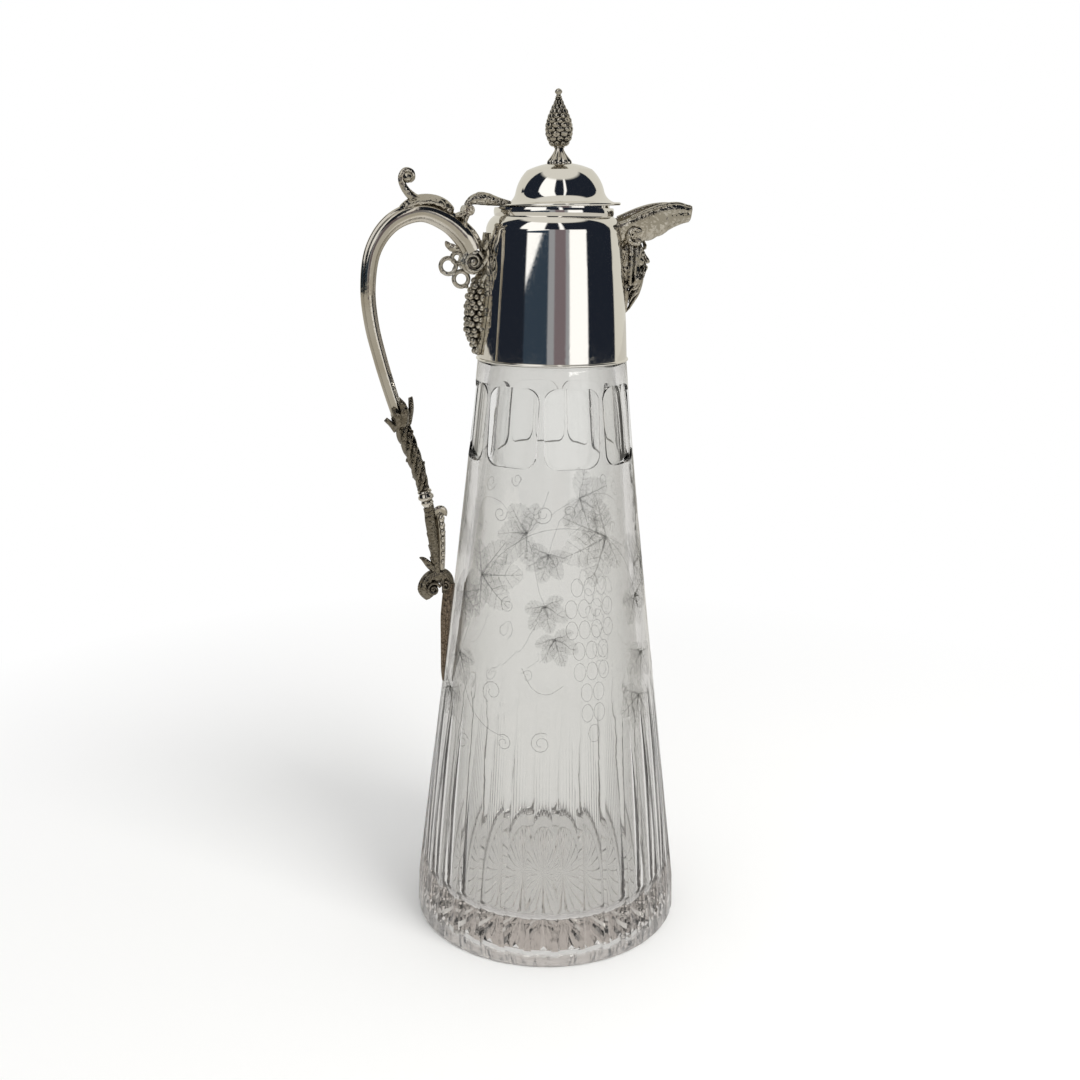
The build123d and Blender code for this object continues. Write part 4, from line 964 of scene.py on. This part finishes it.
for side in (1, -1):
    eye = side * face["eyeHalfGap"]
    parts.append(addBall(onMask(7.55, eye, eyeUp), face["eye"], 3))
    parts.append(addSweep(
        pathOn(
            onMask, (8.1, eye - side * 1.15, eyeUp - 0.05), (8.85, eye, eyeUp + 0.62),
            (7.85, eye + side * 1.2, eyeUp),
        ),
        [0.7, 1, 0.6], (0.6, 0.6, 10),
    ))
    parts.append(addSweep(
        pathOn(
            onMask, (8.1, eye - side * 1.1, eyeUp - 0.2), (8.7, eye, eyeUp - 0.72),
            (7.8, eye + side * 1.15, eyeUp - 0.2),
        ),
        [0.6, 0.8, 0.5], (0.5, 0.5, 10),
    ))
    parts.append(addSweep(
        pathOn(
            onMask, (8.9, side * 0.7, face["brow"] - 0.1), (9.05, eye, face["brow"] + 0.45),
            (7.1, side * 4.4, face["brow"] - 0.5),
        ),
        [0.8, 1.0, 0.5], (1.3, 1.2, 14),
    ))
    parts.append(addBall(onMask(9.55, side * 0.85, face["noseFoot"] + 0.55), 0.55, 2, (1.2, 0.9, 0.9)))
    parts.append(addBall(onMask(6.6, side * 2.9, -18.2), 1, 3, (1.7, 1.6, 1.9)))
    parts.append(addLock(
        pathOn(
            onMask, (9.3, side * 0.25, -19.9), (9.1, side * 1.9, -20.3), (7.9, side * 3.5, -21.9),
            (7.2, side * 4.3, -24.2),
        ),
        [0.9, 1.15, 0.85, 0.3], 1.6,
    ))
    for across, foot in ((0.95, -35.4), (2.5, -33.2), (3.9, -30.4), (4.9, -27.6)):
        out = 7.4 - 0.13 * across ** 2
        parts.append(addLock(
            pathOn(
                onMask, (out - 0.6, side * across, -22.2), (out, side * (across + 0.35), -24.6),
                (out * 0.8, side * (across - 0.3), (foot - 24) / 2),
                (out * 0.52, side * across * 0.72, foot + 2.4),
                (out * 0.30 + 0.4, side * across * 0.42, foot),
            ),
            [0.8, 1.15, 1.1, 0.75, 0.3], 1.75,
        ))
    for across, out, foot in ((4.2, 6.3, -19.0), (5.2, 4.6, -22.5), (5.6, 2.6, -26.0)):
        parts.append(addLock(
            pathOn(
                onMask, (out - 0.8, side * (across - 1.2), -10.6), (out + 0.2, side * across, -13.0),
                (out - 0.5, side * (across + 0.3), (foot - 13) / 2),
                (out - 0.9, side * (across - 0.2), foot), (out - 0.1, side * (across - 0.9), foot + 1.0),
            ),
            [0.8, 1.1, 1.1, 0.8, 0.4], 1.8,
        ))
parts.append(addLock(
    pathOn(
        onMask, (6.9, 0, -22.8), (7.5, 0.3, -25.0), (5.8, -0.3, -29.4), (3.5, 0, -33.6), (1.6, 0, -36.3),
    ),
    [0.8, 1.2, 1.15, 0.8, 0.3], 1.8,
))
head = joinPieces(parts, "spoutMask")
addModifier(head, "REMESH", mode="VOXEL", voxel_size=0.2 * mm)
addModifier(head, "SMOOTH", factor=0.5, iterations=2)
crown = addLeaf(
    pathOn(onMask, (9.6, 0, -14.1), (9.9, 0, -12.6), (9.2, 0, -10.9)), 3.6, 3, 0.4, 0.6, (1, 0, 0.3),
    rows=8, columns=6,
)
beardLeaves = [
    addLeaf(
        pathOn(onMask, (0.7, side * 3.9, -25.5), (1.0, side * 3.0, -30.5), (0.8, side * 0.6, -36.6)), 3.2,
        4, 0.5, 0.7, (0.8, side * 0.6, 0), rows=12, columns=6,
    )
    for side in (1, -1)
]
finishPiece([head, crown, *beardLeaves], "spoutMask", castPlate, ["spout_mask"], smooth=80)
print("stage: spout and mask")

# lid: leafy arm on its knuckle, reeded bell and scaled cone

hinge = {"out": -31.0, "up": 269.2, "knuckle": 1.9, "bore": 0.87, "length": 3.4}


def onArm(out, up, across=0.0):
    return (hinge["out"] + out, across, hinge["up"] + up)


bpy.ops.mesh.primitive_cylinder_add(
    vertices=40, radius=hinge["knuckle"] * mm, depth=hinge["length"] * mm, end_fill_type="NOTHING",
    location=[value * mm for value in onArm(0, 0)], rotation=(radians(90), 0, 0),
)
knuckle = bpy.context.object
bakePlace(knuckle)
addModifier(knuckle, "SOLIDIFY", thickness=(hinge["knuckle"] - hinge["bore"]) * mm, offset=-1)
arm = {
    "path": pathOn(
        onArm, (-0.1, 1.45), (0.6, 2.6), (2.2, 3.5), (4.8, 3.9), (7.6, 3.6), (10.4, 2.95), (14.6, 2.2),
    ),
    "sizes": [0.8, 0.82, 1.15, 1.5, 1.4, 1.0, 0.45],
}
parts = [
    knuckle, addSweep(arm["path"], arm["sizes"], (2.5, 3.0, 36, (60, 120, 240, 300), 0.14, 11), steps=7),
]
for out, up, radius in ((4.4, 4.5, 1.45), (7.6, 4.0, 1.2), (10.4, 3.3, 0.95), (12.9, 2.75, 0.7)):
    for side in (1, -1):
        path = spiralPath(
            onArm(out, up - 0.3, side * 1.25), radius, 0.3, 1.3, 200, clockwise=True, steps=12,
        )
        parts.append(addSweep(path, [1, 0.7], (0.7, 0.9, 12), steps=2))
    parts.append(addBall(onArm(out - 0.2, up + 0.55), radius * 0.85, 3, (1.15, 1.3, 0.9)))
parts.append(addLeaf(
    pathOn(onArm, (2.2, 4.9), (4.8, 5.6), (8.2, 4.9), (11.6, 3.7), (15.4, 2.7)), 3.2, 6, 0.4, 0.5,
    (0.35, 0, 1), rows=12, columns=8, lobeDepth=0.5, curl=0.7,
))
finishPiece(parts, "lidArm", castPlate, ["lid_arm"], body="lid")

# the lugs that hold the pin, each an eye on a short curved leg
parts = []
for side in (1, -1):
    bpy.ops.mesh.primitive_cylinder_add(
        vertices=40, radius=hinge["knuckle"] * mm, depth=1.6 * mm, end_fill_type="NOTHING",
        location=[value * mm for value in onArm(0, 0, side * 2.8)], rotation=(radians(90), 0, 0),
    )
    eye = bpy.context.object
    bakePlace(eye)
    addModifier(eye, "SOLIDIFY", thickness=(hinge["knuckle"] - hinge["bore"]) * mm, offset=-1)
    parts.append(eye)
    leg = pathOn(
        onArm, (-0.1, -1.25, side * 2.8), (-0.9, -2.6, side * 2.75), (-1.5, -4.4, side * 2.6),
        (-1.0, -6.4, side * 2.2),
    )
    parts.append(addSweep(leg, [0.85, 1.0, 1.15, 0.9], (2.4, 1.5, 20), steps=6))
    parts.append(addSweep(
        pathOn(onArm, (-1.2, -0.9, side * 2.8), (-2.9, -1.6, side * 2.7), (-4.6, -1.9, side * 2.3)),
        [1, 1.1, 0.7], (1.7, 1.5, 20), steps=6,
    ))
finishPiece(parts, "hingeLugs", castPlate, ["hinge_lugs"])

# the lid's axis leans with the lid, which stands a hair open at the front
lidLean = radians(1.6)
lidAxis = {
    "base": (2.2, 0.0, mount["rimTop"] + 0.1 + 21.4 * sin(lidLean)),
    "lean": (-sin(lidLean), 0, cos(lidLean)),
}


def onLid(height, radius=0.0, angle=0.0):
    # a place above the lid's flange, out from its axis
    base, lean = Vector(lidAxis["base"]), Vector(lidAxis["lean"])
    ahead = Vector((lean.z, 0, -lean.x))
    return base + lean * height + (
        ahead * cos(radians(angle)) + Vector((0, 1, 0)) * sin(radians(angle))
    ) * radius


bell = {
    "lobes": 10,
    "stations": [
        (14.0, 4.45), (14.5, 4.5), (15.1, 4.35), (15.6, 3.95), (16.3, 3.35), (17.1, 2.7), (17.9, 2.15),
        (18.7, 1.7), (19.3, 1.55), (19.6, 1.95), (19.95, 1.9),
    ],
}
turned = addTurned(bell["stations"], lidAxis["base"], lidAxis["lean"], 80)
axis = Vector(lidAxis["lean"])
for vertex in turned.data.vertices:
    offset = vertex.co / mm - Vector(lidAxis["base"])
    height = offset.dot(axis)
    spoke = offset - axis * height
    if spoke.length > 0.4 and height < 19.2:
        angle = atan2(spoke.y, spoke.x)
        depth = 0.17 * (1 - max(height - 14, 0) / 6)
        vertex.co = (
            Vector(lidAxis["base"]) + axis * height + spoke * (
                1 - depth * (1 - abs(cos(angle * bell["lobes"] / 2)))
            )
        ) * mm
finishPiece([turned], "finialBell", strapPlate, ["finial_foot"], body="lid", smooth=50)

cone = {"foot": 20.0, "tall": 15.6, "radius": 4.75, "rows": 10, "scales": 9}


def coneRadius(share):
    return cone["radius"] * sin(pi * (0.10 + 0.87 * share)) ** 0.8 * (1.12 - 0.62 * share)


stations = [(cone["foot"] + cone["tall"] * step / 16, coneRadius(step / 16)) for step in range(17)]
tip = [
    (35.9, 0.95), (36.3, 1.15), (36.7, 0.75), (37.1, 0.8), (37.5, 1.2), (37.9, 1.3), (38.3, 1.15),
    (38.7, 0.75), (38.95, 0.25),
]
parts = [addTurned([(19.9, 1.6), *stations, *tip], lidAxis["base"], lidAxis["lean"], 32)]
for row in range(cone["rows"]):
    share = (row + 0.55) / (cone["rows"] + 0.5)
    radius = coneRadius(share)
    slope = (coneRadius(min(share + 0.04, 1)) - coneRadius(share - 0.04)) / (0.08 * cone["tall"])
    for place in range(cone["scales"]):
        turn = (place + row / 2) * 360 / cone["scales"]
        wide = 2 * pi * radius / cone["scales"]
        scale = addBall((0, 0, 0), 1, 2, (0.62, wide * 0.52, 1.15))
        scale.matrix_world = (
            Matrix.Translation(onLid(cone["foot"] + share * cone["tall"], radius + 0.12, turn) * mm)
            @ Matrix.Rotation(radians(turn), 4, "Z")
            @ Matrix.Rotation(atan2(slope, 1) + radians(13), 4, "Y")
        )
        bakePlace(scale)
        parts.append(scale)
for step in range(6):
    parts.append(addBall(onLid(35.6, 0.95, step * 60), 0.42, 1))
finishPiece(parts, "finialCone", castPlate, ["finial_cone"], body="lid")
print("stage: lid")

# foliage of the handle's root plate, chased leaves that lie on the collar

bracket = {"foot": 2.4, "top": 44.4, "half": 7.0}


def onBracket(across, up, out=1.0):
    # a place on the collar's back, across it and up from its foot
    height = mount["foot"] + up
    reach = collarRadius(height) + out
    return (-(max(reach ** 2 - across ** 2, 1) ** 0.5), across, height)


bpy.ops.mesh.primitive_grid_add(x_subdivisions=56, y_subdivisions=90, size=1, location=(0, 0, 0))
plate = bpy.context.object
for vertex in plate.data.vertices:
    along = vertex.co.y + 0.5
    side = vertex.co.x * 2
    half = bracket["half"] * max(
        sin(pi * (0.05 + 0.93 * along)), 0.03,
    ) ** 0.55 * (1 - 0.05 * abs(sin(pi * 6 * along)))
    reed = 0.34 * abs(cos(pi * 2.5 * side)) * (1 - 0.4 * abs(side))
    place = onBracket(
        side * half, bracket["foot"] + along * (bracket["top"] - bracket["foot"]), 0.62 + reed,
    )
    vertex.co = Vector(place) * mm
addModifier(plate, "SOLIDIFY", thickness=1.0 * mm, offset=0)
parts = [plate]
for up, reach in ((27.0, 6.4), (33.0, 6.2), (38.0, 5.2)):
    for side in (1, -1):
        outward = Vector((-0.9, side * 0.45, 0.1))
        midrib = pathOn(
            onBracket, (side * 0.8, up, 1.4), (side * reach * 0.6, up + 1.4, 1.7),
            (side * reach, up + 3.8, 1.2),
        )
        parts.append(addLeaf(midrib, 3.0, 3, 0.4, 0.5, outward, rows=8, columns=6, curl=0.4))
finishPiece(parts, "rootFoliage", castPlate, ["handle_bracket"])
print("stage: root foliage")

# vine cut into the glass: leaves, a bunch of grapes and tendrils, three times round

vineCut = {
    "facing": 254.5,  # degrees round the jug of the middle of the first repeat
    "repeats": 3,
    "sunk": 0.25,  # how far the cuts stand off the glass, as a share of their width
    # leaves: degrees round, height, reach, and the way that the middle lobe points
    "leaves": [
        (-44, 143, 17.5, 8), (37, 158, 19.0, 200), (56, 97, 13.0, 250), (-57, 112, 13.0, 255),
        (61, 134, 12.5, 285),
    ],
    "lobes": [(0, 1.0), (46, 0.95), (-46, 0.95), (96, 0.72), (-96, 0.72)],
    # tendrils: degrees round, height, radius, turns and first angle of the curl, and clockwise or not
    "curls": [
        (-4, 167, 3.6, 1.5, 200, False), (-33, 166, 3.0, 1.3, 20, True), (-24, 134, 3.0, 1.4, 90, False),
        (2, 150, 2.6, 1.2, 160, True), (-3, 85, 4.2, 1.6, 60, False), (-22, 84, 3.2, 1.4, 120, True),
        (-47, 80, 3.4, 1.3, 30, False), (-30, 102, 4.6, 1.3, 250, True), (12, 168, 2.4, 1.2, 300, False),
        (66, 130, 2.8, 1.4, 100, True),
    ],
    # stems: (degrees round, height) from point to point
    "stems": [
        [(-60, 160), (-44, 143), (-30, 152), (-10, 160), (12, 162), (37, 158), (60, 150)],
        [(-44, 143), (-50, 126), (-57, 112)], [(-52, 104), (-44, 95), (-34, 89), (-22, 86)],
        [(37, 158), (30, 148), (25, 144)], [(37, 158), (52, 148), (61, 134)],
        [(-14, 112), (-8, 105), (0, 103), (8, 106)], [(56, 97), (64, 88), (74, 84)],
    ],
    "grapes": {"around": 24, "top": 141, "rows": (3, 4, 4, 3, 3, 2, 2, 1), "drop": 7.6, "half": (2.2, 3.3)},
}


def onGlass(around, height, right=0.0, up=0.0):
    # a place on the glass, moved right and up over its face by millimetres
    radius = glassRadius(height + up)
    turn = radians(vineCut["facing"] + around) + right / radius
    return Vector((radius * cos(turn), radius * sin(turn), height + up))


def addCut(path, sizes, wide=0.42, steps=3):
    return addSweep(path, sizes, (wide, wide, 6), steps=steps)


lines, blades = [], []
for around, height, reach, pointing in vineCut["leaves"]:
    for turn, share in vineCut["lobes"]:
        aim = Vector((cos(radians(pointing + turn)), sin(radians(pointing + turn))))
        aside = Vector((-aim.y, aim.x))
        long = reach * share
        bpy.ops.mesh.primitive_grid_add(x_subdivisions=4, y_subdivisions=24, size=1, location=(0, 0, 0))
        blade = bpy.context.object
        for vertex in blade.data.vertices:
            along = vertex.co.y + 0.5
            tooth = 1 - 0.24 * ((along * 8) % 1)
            half = 0.36 * long * max(sin(pi * min(along * 0.9 + 0.06, 1)), 0.02) ** 0.75 * tooth
            spot = aim * long * along + aside * vertex.co.x * 2 * half
            vertex.co = onGlass(around, height, spot.x, spot.y) * mm
        addModifier(blade, "SOLIDIFY", thickness=0.06 * mm, offset=0)
        blades.append(blade)
        rib = [onGlass(around, height, *(aim * long * step / 4)) for step in range(5)]
        lines.append(addCut(rib, [1.9, 1.6, 1.2, 0.9, 0.5]))
        for step in range(1, 5):
            root = 0.08 + 0.17 * step
            for side in (1, -1):
                veinEnd = aim * long * (root + 0.16) + aside * side * long * 0.31 * sin(
                    pi * min(root + 0.14, 1)
                ) ** 0.75
                vein = [
                    onGlass(around, height, *(aim * long * root)),
                    onGlass(around, height, *((aim * long * root + veinEnd) / 2)),
                    onGlass(around, height, *veinEnd),
                ]
                lines.append(addCut(vein, [0.65, 0.55, 0.35], steps=1))
for around, height, radius, turns, first, clockwise in vineCut["curls"]:
    flat = spiralPath((0, 0, 0), radius, radius * 0.25, turns, first, clockwise=clockwise, steps=12)
    lines.append(addCut([onGlass(around, height, spot[0], spot[2]) for spot in flat], [1.0, 0.6], steps=1))
for stem in vineCut["stems"]:
    lines.append(addCut([onGlass(around, height) for around, height in stem], [0.8, 0.7, 0.6], steps=6))
bunch = vineCut["grapes"]
wide, tall = bunch["half"]
for row, count in enumerate(bunch["rows"]):
    for place in range(count):
        right = (place - (count - 1) / 2) * wide * 2.15
        up = -row * bunch["drop"]
        ring = [
            onGlass(
                bunch["around"], bunch["top"], right + wide * cos(radians(30 * step)),
                up + tall * sin(radians(30 * step)),
            )
            for step in range(13)
        ]
        lines.append(addCut(ring, [0.65, 0.65], steps=1))
for name, parts, material in (("vineCutLines", lines, cutLine), ("vineCutBlades", blades, cutBlade)):
    motif = joinPieces(parts, name)
    for vertex in motif.data.vertices:
        # the cuts lie flat on the glass
        radius = glassRadius(vertex.co.z / mm) * mm
        reach = hypot(vertex.co.x, vertex.co.y)
        ratio = (radius + (reach - radius) * vineCut["sunk"]) / reach
        vertex.co.x *= ratio
        vertex.co.y *= ratio
    copies = [motif]
    for step in range(1, vineCut["repeats"]):
        makeActive(motif)
        bpy.ops.object.duplicate()
        copy = bpy.context.object
        copy.rotation_euler = (0, 0, 2 * pi * step / vineCut["repeats"])
        bakePlace(copy)
        copies.append(copy)
    finishPiece(copies, name, material)
print("stage: vine cut into the glass")
